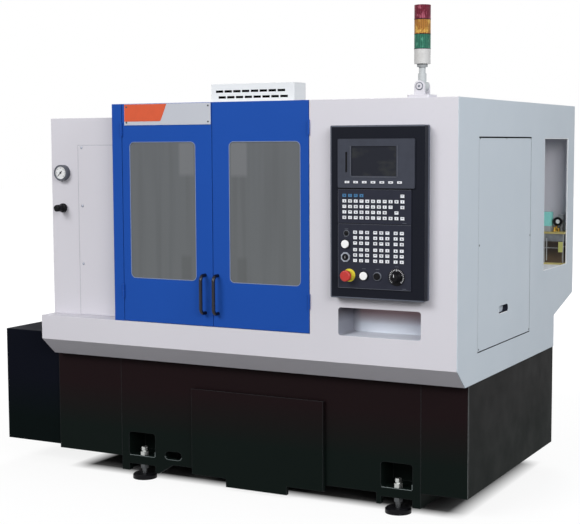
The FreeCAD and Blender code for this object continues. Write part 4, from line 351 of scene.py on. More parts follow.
# Sheet and structure.
use("white", painted("white_sheet_paint", srgb(209, 207, 214)))
# A cooler copy of the white sheet paint for the right side, as painted light of the cool light from the right.
use("side_white", painted("side_sheet_paint", srgb(198, 207, 216)))
# Light paint for the cut edges round the niche and the rims of the finger hole, as a painted highlight.
use("lip_white", painted("highlit_edge_paint", srgb(236, 239, 242), edge=0.001))
use("vent_white", painted("vent_paint", srgb(219, 222, 224)))
# Nearly white, lighter than the white sheet paint, for the inside of the niche: painted light in a place of
# shade.
use("inner_white", painted("inner_sheet_paint", srgb(243, 246, 251), 0.5))
use("blue", painted("blue_sheet_paint", srgb(31, 77, 163), 0.36, 0.06, gloss=0.06))
use("black", black_paint("black_structure_paint", srgb(26, 16, 18), srgb(13, 20, 18)))
use("cover_black", black_paint("cover_black_paint", srgb(17, 19, 27), srgb(13, 19, 19), 0.005,
                               (50, 52, 58)))
# A lighter copy of the black structure paint for the right side of the base, as painted light from the right,
# and darker towards the floor as painted shade.
use("side_black", black_paint("side_black_paint", srgb(34, 34, 34), srgb(28, 31, 30), 0.01,
                              (92, 94, 94)))
use("tray", tray_paint("tray_sheet_paint", srgb(218, 224, 234)))
# Grey line along the left access panel's edges, as a painted shadow.
use("seam", painted("seam_shadow_paint", srgb(160, 160, 168), 0.5, edge=0))
# Near-black strips in the access panel's gap and in the roof vents, as painted shade.
use("shadow_black", plastic("seam_shadow_black", srgb(9, 10, 12), 0.8, 0.1, gloss=0.03))
use("edge_grey", plastic("edge_grey", srgb(84, 87, 87), 0.5, 0.2, gloss=0.1))
# Light strips on the lower lips of the foot bays and lifting hole, as a painted highlight.
use("lip", metal("lit_lip_metal", srgb(104, 112, 112), 0.45, (1, 1, 1)))

# Metal, castings and the drive.
use("zinc", metal("zinc_plate", srgb(186, 188, 186), 0.32, (1, 1, 1)))
use("dark_steel", metal("dark_steel", srgb(84, 86, 88), 0.4, (1, 1, 1)))
use("steel", metal("ground_steel", srgb(196, 198, 202), 0.26))
use("guard", metal("guard_sheet", srgb(176, 180, 184), 0.36, (14, 1, 1)))
use("chrome", metal("screw_chrome", srgb(205, 207, 210), 0.2, (1, 1, 1), 0.04))
use("casting", casting("machine_casting", srgb(120, 124, 128)))
use("motor", casting("motor_casting", srgb(38, 38, 40)))
use("galvanised", metal("galvanised_sheet", srgb(176, 180, 182), 0.42, (1, 1, 1), 0.1))
use("rubber", plastic("belt_rubber", srgb(26, 26, 27), 0.7, 0.1, 0.0002))

# Doors.
use("handle", plastic("handle_black", srgb(10, 10, 24), 0.2, 0.02, gloss=0.35, edge=0))
# Light line round each window, as a painted highlight.
use("trim", painted("window_glint_paint", srgb(128, 140, 168), 0.35, 0.05, edge=0.0006))
use("left_glass", window_shader("left_window_glass", (-1270, -1194, 1392, 1533),
                                (-1262, -1212, 941, 1045)))
use("right_glass", window_shader("right_window_glass", (-1014, -936, 1390, 1533),
                                 (-985, -938, 941, 1045)))
use("silver", painted("plate_silver", srgb(188, 191, 199), 0.4, 0.03, 0.00002, edge=0.0006))
use("orange", plastic("plate_orange", srgb(203, 80, 40), 0.45, 0.05))

# Operator station.
use("bezel", bezel_paint("bezel_paint", srgb(25, 27, 35)))
use("bezel_side", bezel_side_paint("bezel_side_paint", srgb(32, 34, 42)))
use("unit", plastic("unit_plastic", srgb(42, 44, 55), 0.45, 0.1, gloss=0.08))
use("display", plastic("display_plastic", srgb(62, 65, 75), 0.45, 0.1, gloss=0.08))
use("unit_edge", plastic("unit_edge_plastic", srgb(84, 88, 97), 0.4, 0.08))
use("screen", screen_shader())
use("key", plastic("key_plastic", srgb(228, 230, 235), 0.4, 0.05))
use("blue_key", plastic("blue_key_plastic", srgb(54, 108, 150), 0.4, 0.05))
use("ink", plastic("legend_ink", srgb(38, 40, 48), 0.5, 0.05, gloss=0.05))
use("dark_plastic", plastic("dark_plastic", srgb(14, 14, 17), 0.32, gloss=0.1))
use("collar_grey", plastic("collar_grey", srgb(150, 153, 155), 0.35))
use("lock_collar", metal("lock_collar", srgb(150, 155, 165), 0.35, (1, 1, 1)))
use("grey_ring", plastic("grey_ring", srgb(112, 116, 126), 0.35))
use("button_white", plastic("button_white", srgb(240, 240, 240), 0.25))
use("red", plastic("stop_red", srgb(180, 46, 42), 0.3, edge=0.003))
use("yellow", plastic("ring_yellow", srgb(208, 192, 58), 0.4))

# Air gauge, lubricator and signal tower.
use("gauge_ring", painted("gauge_ring", srgb(74, 78, 88), 0.32, 0.08, gloss=0.5, edge=0.002))
use("dial_face", plastic("dial_face", srgb(222, 223, 224), 0.4, 0.02))
use("teal", painted("pump_teal", srgb(140, 214, 206), 0.4, 0.1, edge=0.001))
use("brass", metal("fitting_brass", srgb(200, 160, 70), 0.3, (1, 1, 1), 0.06))
use("flange", plastic("flange_yellow", srgb(184, 170, 108), 0.4, 0.1))
use("label", plastic("plain_label", srgb(190, 190, 110), 0.5, 0.05))
use("tank", tank_shader())
use("tank_edge", plastic("tank_edge", srgb(164, 167, 166), 0.3, 0.1))
use("lamp_white", plastic("lamp_white", srgb(194, 193, 192), 0.4))
use("pole", plastic("pole_white", srgb(184, 188, 190), 0.35, 0.05, edge=0.003))
use("lens_green", lens_shader("lens_green", srgb(44, 108, 88), srgb(84, 156, 130)))
use("lens_amber", lens_shader("lens_amber", srgb(166, 112, 48), srgb(226, 178, 84)))
use("lens_red", lens_shader("lens_red", srgb(108, 26, 46), srgb(166, 84, 102)))


# --- CAD nodes ----------------------------------------------------------------------------------

def dress(node, own, *rules):
    """Gives a CAD node its own material, and each rule (test, name) the faces that pass its test.

    The tests take the centre of a face, in metres of the part; a later rule wins.
    """
    body = NODES[node]
    body.data.materials.clear()
    body.data.materials.append(mats[own])
    for face in body.data.polygons:
        face.material_index = 0
    for index, (test, name) in enumerate(rules, 1):
        body.data.materials.append(mats[name])
        for face in body.data.polygons:
            if test(face.center):
                face.material_index = index


def higher(z):
    """Faces above a plane."""
    return lambda centre: centre.z > z / 1000


def lower(z):
    """Faces below a plane."""
    return lambda centre: centre.z < z / 1000


def nearer(y):
    """Faces in front of a plane."""
    return lambda centre: centre.y < (y - ORIGIN_Y) / 1000


def beyond(y):
    """Faces behind a plane."""
    return lambda centre: centre.y > (y - ORIGIN_Y) / 1000


def right_of(x):
    """Faces to the right of a plane."""
    return lambda centre: centre.x > (x - ORIGIN_X) / 1000


def spot(place, radius):
    """Faces within a radius of a centre (x, z)."""
    middle = part_point(place[0], 0, place[1])
    return lambda centre: math.hypot(centre.x - middle.x, centre.z - middle.z) < radius / 1000


def inside(low, high):
    """Faces in the box between two corners."""
    low, high = part_point(*low), part_point(*high)
    return lambda centre: all(a <= c <= b for a, c, b in zip(low, centre, high))


def both(first, second):
    """Faces that pass two tests."""
    return lambda centre: first(centre) and second(centre)


# CAD nodes with one material each, by the material.
PLAIN = {
    "black": "left_base_panel bed_base chip_drawer",
    "cover_black": "motor_cover",
    "white": "left_housing left_access_panel roof_panel rear_panel cabinet_door",
    "side_white": "right_side_panel right_access_panel",
    "vent_white": "roof_vent_cover",
    "blue": "door_post door_hinges left_door right_door",
    "left_glass": "left_window",
    "right_glass": "right_window",
    "handle": "left_handle right_handle",
    "guard": "chip_guard",
    "casting": "slant_bed headstock saddle cross_slide",
    "steel": "spindle collet_chuck motor_rotor z_rails z_screw x_screw tool_holders",
    "motor": "spindle_motor z_motor x_motor",
    "rubber": "drive_belt",
    "unit": "mdi_keypad",
    "button_white": "upper_white_button lower_white_button",
    "dark_plastic": "dark_button key_lock override_knob regulator_knob",
    "red": "stop_button",
    "lamp_white": "tower_base",
}
for name, nodes in PLAIN.items():
    for node in nodes.split():
        dress(node, name)

dress("front_panel", "white", (inside((-513.8, 4, 745), (-151, 151, 866)), "tray"))
# The base's right side takes the lighter copy of its black paint, as painted light.
dress("right_base_panel", "black", (inside((-14, 0, 0), (10, 1400, 700)), "side_black"))
# The niche's walls take the lighter inner paint, as painted light.
dress("electrical_cabinet", "galvanised",
      (inside((-306, 1090, 900), (5, 1610, 1640)), "inner_white"))
dress("access_screws", "chrome", (right_of(-184), "ink"))
dress("levelling_feet", "zinc", (lower(80), "dark_steel"), (lower(23), "dark_plastic"))
dress("main_switch", "yellow", (beyond(1642), "red"))
dress("nameplate", "silver", (nearer(-2.2), "dark_steel"))
dress("lubricator_tank", "tank", (higher(1070), "flange"))
dress("lubricator_pump", "teal", (lower(1094), "flange"),
      (inside((-60, 1500, 1094), (-20, 1600, 1200)), "collar_grey"))
dress("display_unit", "display",
      (inside((-453, -62, 1408), (-443, -55, 1493)), "dark_plastic"),
      (inside((-427, -59.5, 1396), (-233, -55, 1514)), "screen"))
dress("operator_panel", "unit",
      (spot(STOP, 27), "yellow"), (spot(OVERRIDE, 32), "dark_plastic"),
      (spot(UPPER_WHITE, 20), "dark_plastic"), (spot(LOWER_WHITE, 20), "dark_plastic"),
      (spot(DARK, 18), "grey_ring"), (spot(KEY_LOCK, 21.5), "lock_collar"),
      (spot(PANEL_LAMP, 11), "dark_plastic"))
dress("panel_bezel", "bezel", (right_of(-119), "bezel_side"))
dress("air_gauge", "gauge_ring", (both(spot(GAUGE, 31), nearer(80)), "dial_face"))
dress("tower_pole", "pole", (higher(1819), "collar_grey"))
dress("signal_lenses", "lens_green", (higher(1947), "lens_amber"), (higher(2004), "lens_red"))


# --- mesh helpers -------------------------------------------------------------------------------

MERGE_DISTANCE = 0.00001                # metres
CORNER_STEPS = 6                        # edges in each corner of a rounded outline
BAR_THICKNESS = 0.3
SCALE_START, SCALE_SPAN = 225, 270      # degrees: a round scale starts low at its left


def build(name, body, materials, draw):
    """A piece drawn by draw(form) in the drawing frame, riding a body, with its materials."""
    form = bmesh.new()
    draw(form)
    bmesh.ops.remove_doubles(form, verts=form.verts, dist=MERGE_DISTANCE)
    bmesh.ops.recalc_face_normals(form, faces=form.faces)
    mesh = bpy.data.meshes.new(name)
    form.to_mesh(mesh)
    form.free()
    made = bpy.data.objects.new(name, mesh)
    bpy.context.scene.collection.objects.link(made)
    for material in materials:
        mesh.materials.append(mats[material])
    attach(made, body)
    return made


def at(place, y):
    """The point of a centre (x, z) in the plane y."""
    return place[0], y, place[1]


def on_circle(place, radius, degrees):
    """The point of a circle at an angle, anticlockwise from its right."""
    turn = math.radians(degrees)
    return place[0] + radius * math.cos(turn), place[1] + radius * math.sin(turn)


def rectangle(a0, b0, a1, b1):
    """Four corners, in order round the rectangle."""
    return (a0, b0), (a1, b0), (a1, b1), (a0, b1)


def rounded_outline(x0, z0, x1, z1, radius):
    """Corner arcs of a rounded rectangle, anticlockwise from its lower right corner."""
    arcs = (((x1 - radius, z0 + radius), -90), ((x1 - radius, z1 - radius), 0),
            ((x0 + radius, z1 - radius), 90), ((x0 + radius, z0 + radius), 180))
    return [on_circle(middle, radius, start + 90 * i / CORNER_STEPS)
            for middle, start in arcs for i in range(CORNER_STEPS + 1)]


def front_rings(*steps):
    """Rings that face -Y, from pairs of an outline in x and z and its y."""
    return [[(x, y, z) for x, z in outline] for outline, y in steps]


def side_rings(*steps):
    """Rings that face +X, from pairs of an outline in y and z and its x."""
    return [[(x, y, z) for y, z in outline] for outline, x in steps]


def skin(form, rings, index=0, closed=True, smooth=False):
    """Joins rings of as many points each, and closes the first and last with faces."""
    rows = [[form.verts.new(part_point(*p)) for p in ring] for ring in rings]
    faces = []
    for low, high in zip(rows, rows[1:]):
        for i in range(len(low)):
            j = (i + 1) % len(low)
            faces.append(form.faces.new((low[i], low[j], high[j], high[i])))
            faces[-1].smooth = smooth
    if closed:
        faces += [form.faces.new(rows[0]), form.faces.new(rows[-1])]
    for face in faces:
        face.material_index = index


def plate(form, outline, back, front, soft=0.3, index=0):
    """A thin plate facing -Y from an outline in x and z, with softened front edges."""
    count = len(outline)
    cx, cz = sum(p[0] for p in outline) / count, sum(p[1] for p in outline) / count

    def shrunk(amount):
        points = []
        for x, z in outline:
            length = math.hypot(x - cx, z - cz)
            points.append((x - (x - cx) / length * amount, z - (z - cz) / length * amount))
        return points
    skin(form, front_rings((outline, back), (outline, front + soft),
                           (shrunk(soft * 0.3), front + soft * 0.3), (shrunk(soft), front)),
         index)


def frame_ring(form, outer, inner, back, front):
    """A flat frame between two outlines of as many points."""
    skin(form, front_rings((outer, back), (outer, front), (inner, front), (inner, back),
                           (outer, back)), closed=False)


def turned(form, centre, profile, steps, index=0, flutes=0, depth=0.0, smooth=True,
           hollow=False, upright=False):
    """A turned form that runs along -Y or upwards, from pairs of distance and radius.

    flutes counts its high and low strips, which stop where it is thin.
    """
    x, y, z = centre
    rings = []
    for far, radius in profile:
        ring = []
        for i in range(steps):
            turn = 2 * math.pi * i / steps
            low = flutes and radius > 4 * depth and (i * flutes // steps) % 2
            r = radius - (depth if low else 0)
            u, v = r * math.cos(turn), r * math.sin(turn)
            ring.append((x + u, y + v, z + far) if upright else (x + u, y - far, z + v))
        rings.append(ring)
    skin(form, rings, index, not hollow, smooth)


def prism(form, low, high, index=0):
    """An upright block between two corners, for a lip, strip or label."""
    (x0, y0, z0), (x1, y1, z1) = low, high
    skin(form, [[(x, y, z) for x, y in rectangle(x0, y0, x1, y1)] for z in (z0, z1)], index)


def bar(form, start, end, width, y, index=0):
    """A thin flat bar between two points (x, z), lying in the plane y."""
    dx, dz = end[0] - start[0], end[1] - start[1]
    length = math.hypot(dx, dz)
    ox, oz = -dz / length * width / 2, dx / length * width / 2
    corners = [(start[0] + ox, start[1] + oz), (end[0] + ox, end[1] + oz),
               (end[0] - ox, end[1] - oz), (start[0] - ox, start[1] - oz)]
    skin(form, front_rings((corners, y + BAR_THICKNESS), (corners, y)), index)


def scale_ticks(form, place, parts, every, long, short, y, index=0):
    """Ticks over three quarters of a round scale; long and short are (near, far, width)."""
    for i in range(parts + 1):
        degrees = SCALE_START - SCALE_SPAN * i / parts
        near, far, width = short if i % every else long
        bar(form, on_circle(place, near, degrees), on_circle(place, far, degrees), width, y,
            index)


def key_cap(form, x, z, front, width, height, index, margin=0.8):
    """A key top with sloping sides and a shallow dish, set a margin inside its dark key body."""
    steps = []
    for inset, rise in ((0.0, 1.6), (0.0, 2.3), (0.4, 2.6), (1.3, 2.65), (2.0, 2.4)):
        w, h = width / 2 - margin - inset, height / 2 - margin - inset
        steps.append((rectangle(x - w, z - h, x + w, z + h), front - rise))
    skin(form, front_rings(*steps), index)


LEGEND_BARS = (((-4.2, 1.6), (4.2, 1.6)), ((-2.6, -1.8), (3.6, -1.8)), ((0.0, -3.0), (0.0, 3.2)))
LEGENDS = ((0, 1), (2,), (0,), (1, 2))


def legend(form, x, z, number, index):
    """A plain mark on a key of the lower units: one or two short bars."""
    for k in LEGENDS[number % len(LEGENDS)]:
        (x0, z0), (x1, z1) = LEGEND_BARS[k]
        bar(form, (x + x0, z + z0), (x + x1, z + z1), 2.0, PANEL_FRONT - LEGEND_RISE, index)


# --- doors --------------------------------------------------------------------------------------

def nameplate_field(form):
    """Coloured field of the plate over the left door, with one rounded corner."""
    corner = [on_circle((-1366, 1633), 10, a) for a in range(-90, -19, 10)]
    plate(form, [(-1547, 1697), (-1547, 1623)] + corner + [(-1328, 1697)], -2.0, -2.6)


build("nameplate_field", "left_door", ["orange"], nameplate_field)
for side, left in (("left", -1522), ("right", -1019)):
    def trim(form, x=left):
        """Thin light line round the window, a painted highlight."""
        outer = rounded_outline(x - 1.8, 939.2, x + 335.8, 1534.8, 21.8)
        inner = rounded_outline(x + 0.6, 941.6, x + 333.4, 1532.4, 19.4)
        frame_ring(form, outer, inner, 2.0, -0.7)
    build(side + "_window_glint", side + "_door", ["trim"], trim)


# --- operator station ---------------------------------------------------------------------------

def display_keys(form):
    """Row of flat keys under the screen, each with one short bar."""
    first, pitch, z = -444, 37.5, 1372
    for i in range(7):
        x = first + pitch * i
        key_cap(form, x, z, DISPLAY_FRONT, 20, 9, 0, 0.1)
        bar(form, (x - 4, z), (x + 4, z), 2.2, DISPLAY_FRONT - LEGEND_RISE, 1)


def keypad_keys(form):
    """Keys of the keypad, whose first row starts with four blue ones."""
    left, top, pitch_x, pitch_z = -457, 1319, 24.9, 21.8
    missing = {0: (4, 5, 6, 7, 8, 9), 2: (9,), 3: (8, 10)}
    for row in range(5):
        for i in range(11):
            if i not in missing.get(row, ()):
                x, z = left + pitch_x * i, top - pitch_z * row
                key_cap(form, x, z, PANEL_FRONT, KEY_WIDTH, KEY_HEIGHT,
                        1 if row == 0 and i < 4 else 0)
                legend(form, x, z, i + 3 * row, 2)


def panel_keys(form):
    """Keys of the operator panel, in two blocks of rows and three of columns."""
    top, pitch_x, pitch_z, gap = 1174, 26, 21.5, 4.5
    blocks = ((-410, 3), (-323, 3), (-236, 2))
    columns = [left + pitch_x * k for left, count in blocks for k in range(count)]
    for row in range(6):
        z = top - pitch_z * row - (gap if row > 2 else 0)
        for i, x in enumerate(columns):
            key_cap(form, x, z, PANEL_FRONT, KEY_WIDTH, KEY_HEIGHT, 0)
            legend(form, x, z, 2 * i + row, 1)


build("display_keys", "machine", ["key", "ink"], display_keys)
build("keypad_keys", "machine", ["key", "blue_key", "ink"], keypad_keys)
build("panel_keys", "machine", ["key", "ink"], panel_keys)


def screen_frame(form):
    """Frame, glass and light edges of the screen."""
    outer = rounded_outline(-434, 1389, -226, 1521, 5)
    inner = rounded_outline(-426, 1397, -234, 1513, 3)
    frame_ring(form, outer, inner, DISPLAY_FRONT, DISPLAY_FRONT - 0.8)
    plate(form, rounded_outline(-425, 1398, -235, 1512, 3), -56.0, -57.2, 0.4, 1)
    for start, end in (((-427, 1392.5), (-233, 1392.5)), ((-229.5, 1395), (-229.5, 1515)),
                       ((-430.5, 1395), (-430.5, 1515))):
        bar(form, start, end, 1.6, DISPLAY_FRONT - 1, 2)


build("screen_frame", "machine", ["display", "screen", "unit_edge"], screen_frame)


def panel_marks(form):
    """Dial and ticks round the override knob, and thin seams and edges of the units: each seam a dark line as
    painted shadow with a light line below as painted highlight, and the light edges as painted highlights.
    """
    key, edge, dark = range(3)
    y = PANEL_FRONT - BAR_THICKNESS
    turned(form, at(OVERRIDE, PANEL_FRONT), ((0, 34.5), (1.7, 34.5), (2.3, 33.6), (2.3, 21.5)),
           60, dark, hollow=True)
    scale_ticks(form, OVERRIDE, 20, 5, (23.5, 32.0, 1.9), (26.5, 31.5, 1.9), -59.8, key)
    for x, z in ((-452, 1155), (-449, 1186), (-372, 1030), (-314, 1030), (-232, 1043),
                 (-200, 957), (-200, 1214)):
        bar(form, (x - 8, z), (x + 8, z), 1.8, PANEL_FRONT - 0.4, edge)
    # Under each seam a dark line as painted shadow, and a light line below it as a painted highlight.
    for z in (1345.5, 1208):
        bar(form, (-486, z), (-172, z), 1.4, y, dark)
        bar(form, (-486, z - 2.4), (-172, z - 2.4), 1.0, y, edge)
    # Light left and lower edges of the units, as painted highlights.
    bar(form, (-485.3, 951), (-485.3, 1340), 1.0, y, edge)
    bar(form, (-485, 951), (-173, 951), 1.4, y, edge)


build("panel_marks", "machine", ["key", "unit_edge", "dark_plastic"], panel_marks)


def panel_lamp(form):
    """Small dark lamp in a grey collar."""
    centre = at(PANEL_LAMP, PANEL_FRONT)
    turned(form, centre, ((0, 13), (1.2, 13), (1.6, 12.4), (1.6, 10.3)), 36, 0, hollow=True)
    turned(form, centre, ((1.0, 10.0), (3.0, 9.2), (4.2, 6.5), (4.7, 2.5)), 36, 1)


build("panel_lamp", "machine", ["unit_edge", "dark_plastic"], panel_lamp)


def override_grip(form):
    """Fluted knob on its shaft, with a pale pointer."""
    x, z = OVERRIDE
    root, length = -59.4, 29.4
    turned(form, at(OVERRIDE, root), ((0, 20.8), (6, 20.8), (8, 17.5), (27, 16.4), (29, 15.0),
                                      (length, 12.0)), 72, 0, 18, 0.9)
    turned(form, at(OVERRIDE, PANEL_FRONT), ((-8, 9.5), (3, 9.5)), 24, 0)
    bar(form, (x, z + 2), (x, z + 13.5), 2.2, root - length - 0.15, 1)


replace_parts(build("override_grip", "override_knob", ["dark_plastic", "key"], override_grip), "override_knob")


def lock_slot(form):
    """Bright slot of the key lock."""
    x, z = KEY_LOCK
    lock_front = -65.2
    bar(form, (x, z - 5), (x, z + 5), 1.6, lock_front)


build("lock_slot", "key_lock", ["chrome"], lock_slot)


# --- housing, side and roof ---------------------------------------------------------------------

def gauge_dial(form):
    """Dial with ticks, needle and a thin inner ring."""
    face, ring, ink = range(3)
    x, z = GAUGE
    back, ticks, needle = 71, 69.9, 69.2
    turned(form, at(GAUGE, back), ((0, 31.5), (0.6, 31.5), (0.9, 31.0)), 48, face)
    turned(form, at(GAUGE, back), ((0.8, 31.9), (3.4, 31.9), (3.4, 30.6), (2.0, 28.4),
                                   (0.9, 28.2)), 48, ring, hollow=True)
    scale_ticks(form, GAUGE, 24, 4, (19.0, 26.0, 1.7), (22.5, 26.0, 1.0), ticks, ink)
    bar(form, (x + 9, z + 9), (x - 15, z - 15), 3.0, needle, ink)
    turned(form, at(GAUGE, back - 1), ((0, 5.0), (1.2, 5.0), (1.8, 3.8)), 20, ink)


build("gauge_dial", "machine", ["dial_face", "gauge_ring", "ink"], gauge_dial)


def regulator_grip(form):
    """Regulator knob on its shaft: a wide ribbed root, a neck and a ribbed end."""
    turned(form, at(REGULATOR, 91),
           ((0.5, 19.5), (2, 20.8), (13, 20.8), (15, 18.5), (16, 12.0), (21, 11.0), (22, 14.0),
            (24, 15.5), (55, 15.5), (58.5, 13.8), (59.2, 9.0)), 72, 0, 24, 0.7)
    turned(form, at(REGULATOR, 100), ((-8, 8.8), (9.2, 8.8)), 24, 0)


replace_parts(build("regulator_grip", "regulator_knob", ["dark_plastic"], regulator_grip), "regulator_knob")


def left_panel_seam(form):
    """Shadow line along the left and upper edge of the left access panel."""
    for outline in (rectangle(-1876.4, 747, -1874, 1520),
                    rectangle(-1876.4, 1520, -1618, 1522.4)):
        skin(form, front_rings((outline, 96.0), (outline, 95.2)))


build("left_panel_seam", "machine", ["seam"], left_panel_seam)


def left_screw_heads(form):
    """Two columns of three screws on the left access panel."""
    for x in (-1854, -1635):
        for z in (1510, 1245, 980):
            turned(form, (x, 94.5, z), ((0, 6.2), (0.8, 6.2), (2.1, 4.8), (2.8, 2.2)), 24)


build("left_screw_heads", "machine", ["lock_collar"], left_screw_heads)


def side_shadow_black(form):
    """Near-black frame in the gap round the access panel, as a painted shadow, whose lower lip laps over the
    panel's edge to widen that shadow line.
    """
    outer, inner = rectangle(229, 677, 914, 1549), rectangle(232, 680, 911, 1543)
    skin(form, side_rings((outer, -2.8), (outer, -0.7), (inner, -0.7), (inner, -2.8),
                          (outer, -2.8)), closed=False)
    prism(form, (-2.0, 229, 677), (-0.1, 914, 681.5))
    prism(form, (-2.0, 229, 1543), (-0.1, 914, 1549))


build("side_shadow_black", "machine", ["shadow_black"], side_shadow_black)


def finger_cup(form):
    """Cup behind the access panel's finger hole, with a light rim as a painted highlight and dark walls as
    painted shade.
    """
    outline = rounded_outline(491, 805, 611, 839, 16.9)
    skin(form, side_rings((outline, -0.9), (outline, -24)), 1, False)
    skin(form, side_rings((outline, -24), (outline, -26)))
    prism(form, (-3.0, 505, 804.6), (-0.2, 597, 807.6), 2)
    prism(form, (-3.0, 489.6, 816), (-0.2, 492.6, 828), 2)


build("finger_cup", "machine", ["side_white", "unit", "lip_white"], finger_cup)


def niche_lip(form):
    """Cut edge of the sheet round the niche, in light paint as a painted highlight."""
    outer, inner = rectangle(1113, 932, 1502, 1546), rectangle(1118, 937, 1497, 1541)
    skin(form, side_rings((outer, -1.0), (outer, -0.05), (inner, -0.05), (inner, -6.0)),
         closed=False)


build("niche_lip", "machine", ["lip_white"], niche_lip)


def vent_shade(form):
    """Dark screens inside the roof hood, and a dark strip behind each slot of both rows, as painted shade in
    the vents.
    """
    slots, pitch = 8, 43
    for y in (123, 216):
        prism(form, (-1172, y, 1703), (-776, y + 1, 1772))
    for start, low in ((-1139, 1719), (-1152, 1744)):
        for k in range(slots):
            left = start + pitch * k
            prism(form, (left - 0.8, 119.6, low - 1), (left + 34.8, 121.6, low + 9))


build("vent_shade", "machine", ["shadow_black"], vent_shade)


def pump_parts(form):
    """Gauge that faces the front, brass fittings, and the pump's clear collar."""
    face, dark, brass, clear = range(4)
    turned(form, (-54, 1534, 1139), ((0, 19.0), (1.5, 21.5), (21, 21.5), (24, 20.0), (24, 16.5),
                                     (20, 14.5)), 36, dark)
    turned(form, (-51, 1514.2, 1139), ((0, 10.5), (1.0, 10.0)), 32, face)
    prism(form, (-139, 1480, 1091.5), (-79, 1540, 1118), clear)
    for x, y, height in ((-62, 1496, 22), (-48, 1520, 16), (-70, 1560, 26)):
        turned(form, (x, y, 1091), ((0, 7.5), (6, 7.5), (6.5, 5.0), (height - 6, 5.0),
                                    (height - 5, 6.6), (height, 6.6)), 12, brass, smooth=False,
               upright=True)


build("pump_parts", "machine", ["dial_face", "dark_plastic", "brass", "tank_edge"], pump_parts)


def tank_trim(form):
    """Light edges and ribs of the moulded tank, its yellow foot and a plain label."""
    edge, foot, label = range(3)
    for x in (-148, -106, -14):
        prism(form, (x, 1475.6, 940), (x + 3, 1478, 1080), edge)
    prism(form, (-13, 1579, 940), (-11, 1583, 1080), edge)
    prism(form, (-13, 1476, 1018), (-10.8, 1583, 1021), edge)
    prism(form, (-150, 1474, 931), (-9, 1585, 940), foot)
    prism(form, (-36, 1475.8, 992), (-12, 1477.5, 1042), label)
    prism(form, (-96, 1475.8, 950), (-92, 1477.5, 1060), edge)
    prism(form, (-147, 1475.9, 1011), (-12, 1477.5, 1013.5), edge)


build("tank_trim", "machine", ["tank_edge", "flange", "label"], tank_trim)


def tower_rings(form):
    """Dark joints between the signal lenses."""
    for z in (1889, 1946, 2003):
        turned(form, (TOWER_X, TOWER_Y, z), ((0, 31.5), (0, 32.5), (2.2, 32.5), (2.2, 31.5)), 48,
               hollow=True, upright=True)


build("tower_rings", "signal_tower", ["ink"], tower_rings)


def pivot_washer(form):
    """Washer round the head of the tower's pivot pin, and the socket in that head."""
    pivot = (TOWER_X, 1745)
    turned(form, at(pivot, 31), ((0, 15.5), (1.6, 15.5), (1.6, 12.2), (0, 12.2)), 36,
           hollow=True)
    turned(form, at(pivot, 27), ((-0.5, 5.5), (0.4, 5.5)), 6, smooth=False)


build("pivot_washer", "machine", ["grey_ring"], pivot_washer)


def lit_lips(form):
    """Light strips on the lower edges of the foot bays and of the lifting hole, as a painted highlight."""
    for x in (-1575, -314):
        prism(form, (x - 68, 137.2, 102.4), (x + 68, 138.2, 105))
        prism(form, (x + 68.5, 137.2, 106), (x + 71.5, 138.2, 128))
    x, z, half, radius = -1407, 122, 26.5, 19.5
    points = [on_circle((x + (half if a > 0 else -half), z), radius, a - 90)
              for a in (-75, -50, -25, -1, 1, 25, 50, 75)]
    for start, end in zip(points, points[1:]):
        bar(form, start, end, 2.2, 137.4)


build("lit_lips", "machine", ["lip"], lit_lips)


def corner_glint_strip(form):
    """Folded front edge of the right base panel, with strips lighter than its side as a painted highlight."""
    prism(form, (-5.5, 138.4, 97), (-3.4, 141.5, 556))
    prism(form, (-5.5, 150, 97), (-3.6, 151.2, 556))


build("corner_glint_strip", "machine", ["edge_grey"], corner_glint_strip)


# --- stage, light and camera --------------------------------------------------------------------

FLOOR_SIZE, FLOOR_GREY = 30, (0.16, 0.16, 0.16, 1)
SHADED_X, SHADED_Y = (-0.80, 1.10), (-0.57, 0.45)       # floor under the machine, where the glow is off: a painted shadow
FLOOR_NEAR, FLOOR_FAR = (2.2, 0.86), (4.5, 1.0)         # distance and brightness of the open floor
WORLD_HIDDEN, WORLD_SEEN = 0.25, 1.0                    # how bright the world lights, and looks

# Rectangular lights: name, place, aim, width, height, power in watts and colour.
SOFTBOXES = (
    ("key", (-2.6, -9.5, 6.4), (0, 0, 1.0), 6.0, 4.0, 730, (1, 1, 1)),
    ("bounce", (5.8, -6.5, 3.4), (0, 0, 1.1), 4.0, 3.0, 262, (1, 1, 1)),
    ("fill", (8.0, -2.0, 4.8), (0, 0.2, 1.1), 4.0, 3.0, 258, (0.93, 0.97, 1.0)),
    ("top", (0, 1.0, 7.0), (0, 0, 1.0), 5.0, 4.0, 30, (1, 1, 1)),
    ("back", (-2.5, 8.0, 5.0), (0, 0, 1.0), 4.0, 3.0, 420, (1, 1, 1)),
)

CAMERA_PLACE = (2.95355, -5.5132, 1.5223)
YAW, PITCH, ROLL = 0.4863, 0.0901, -0.0045              # radians: leftwards, downwards and tilt
FOCAL, SENSOR, FAR_CLIP = 81.0, 36.0, 100


def seen_rays(tree):
    """1 for rays that come from the camera, or from a reflection or refraction, else 0."""
    rays = tree.nodes.new("ShaderNodeLightPath")
    total = rays.outputs["Is Camera Ray"]
    for kind in ("Is Glossy Ray", "Is Transmission Ray"):
        most = tree.nodes.new("ShaderNodeMath")
        most.operation = "MAXIMUM"
        tree.links.new(total, most.inputs[0])
        tree.links.new(rays.outputs[kind], most.inputs[1])
        total = most.outputs[0]
    return total


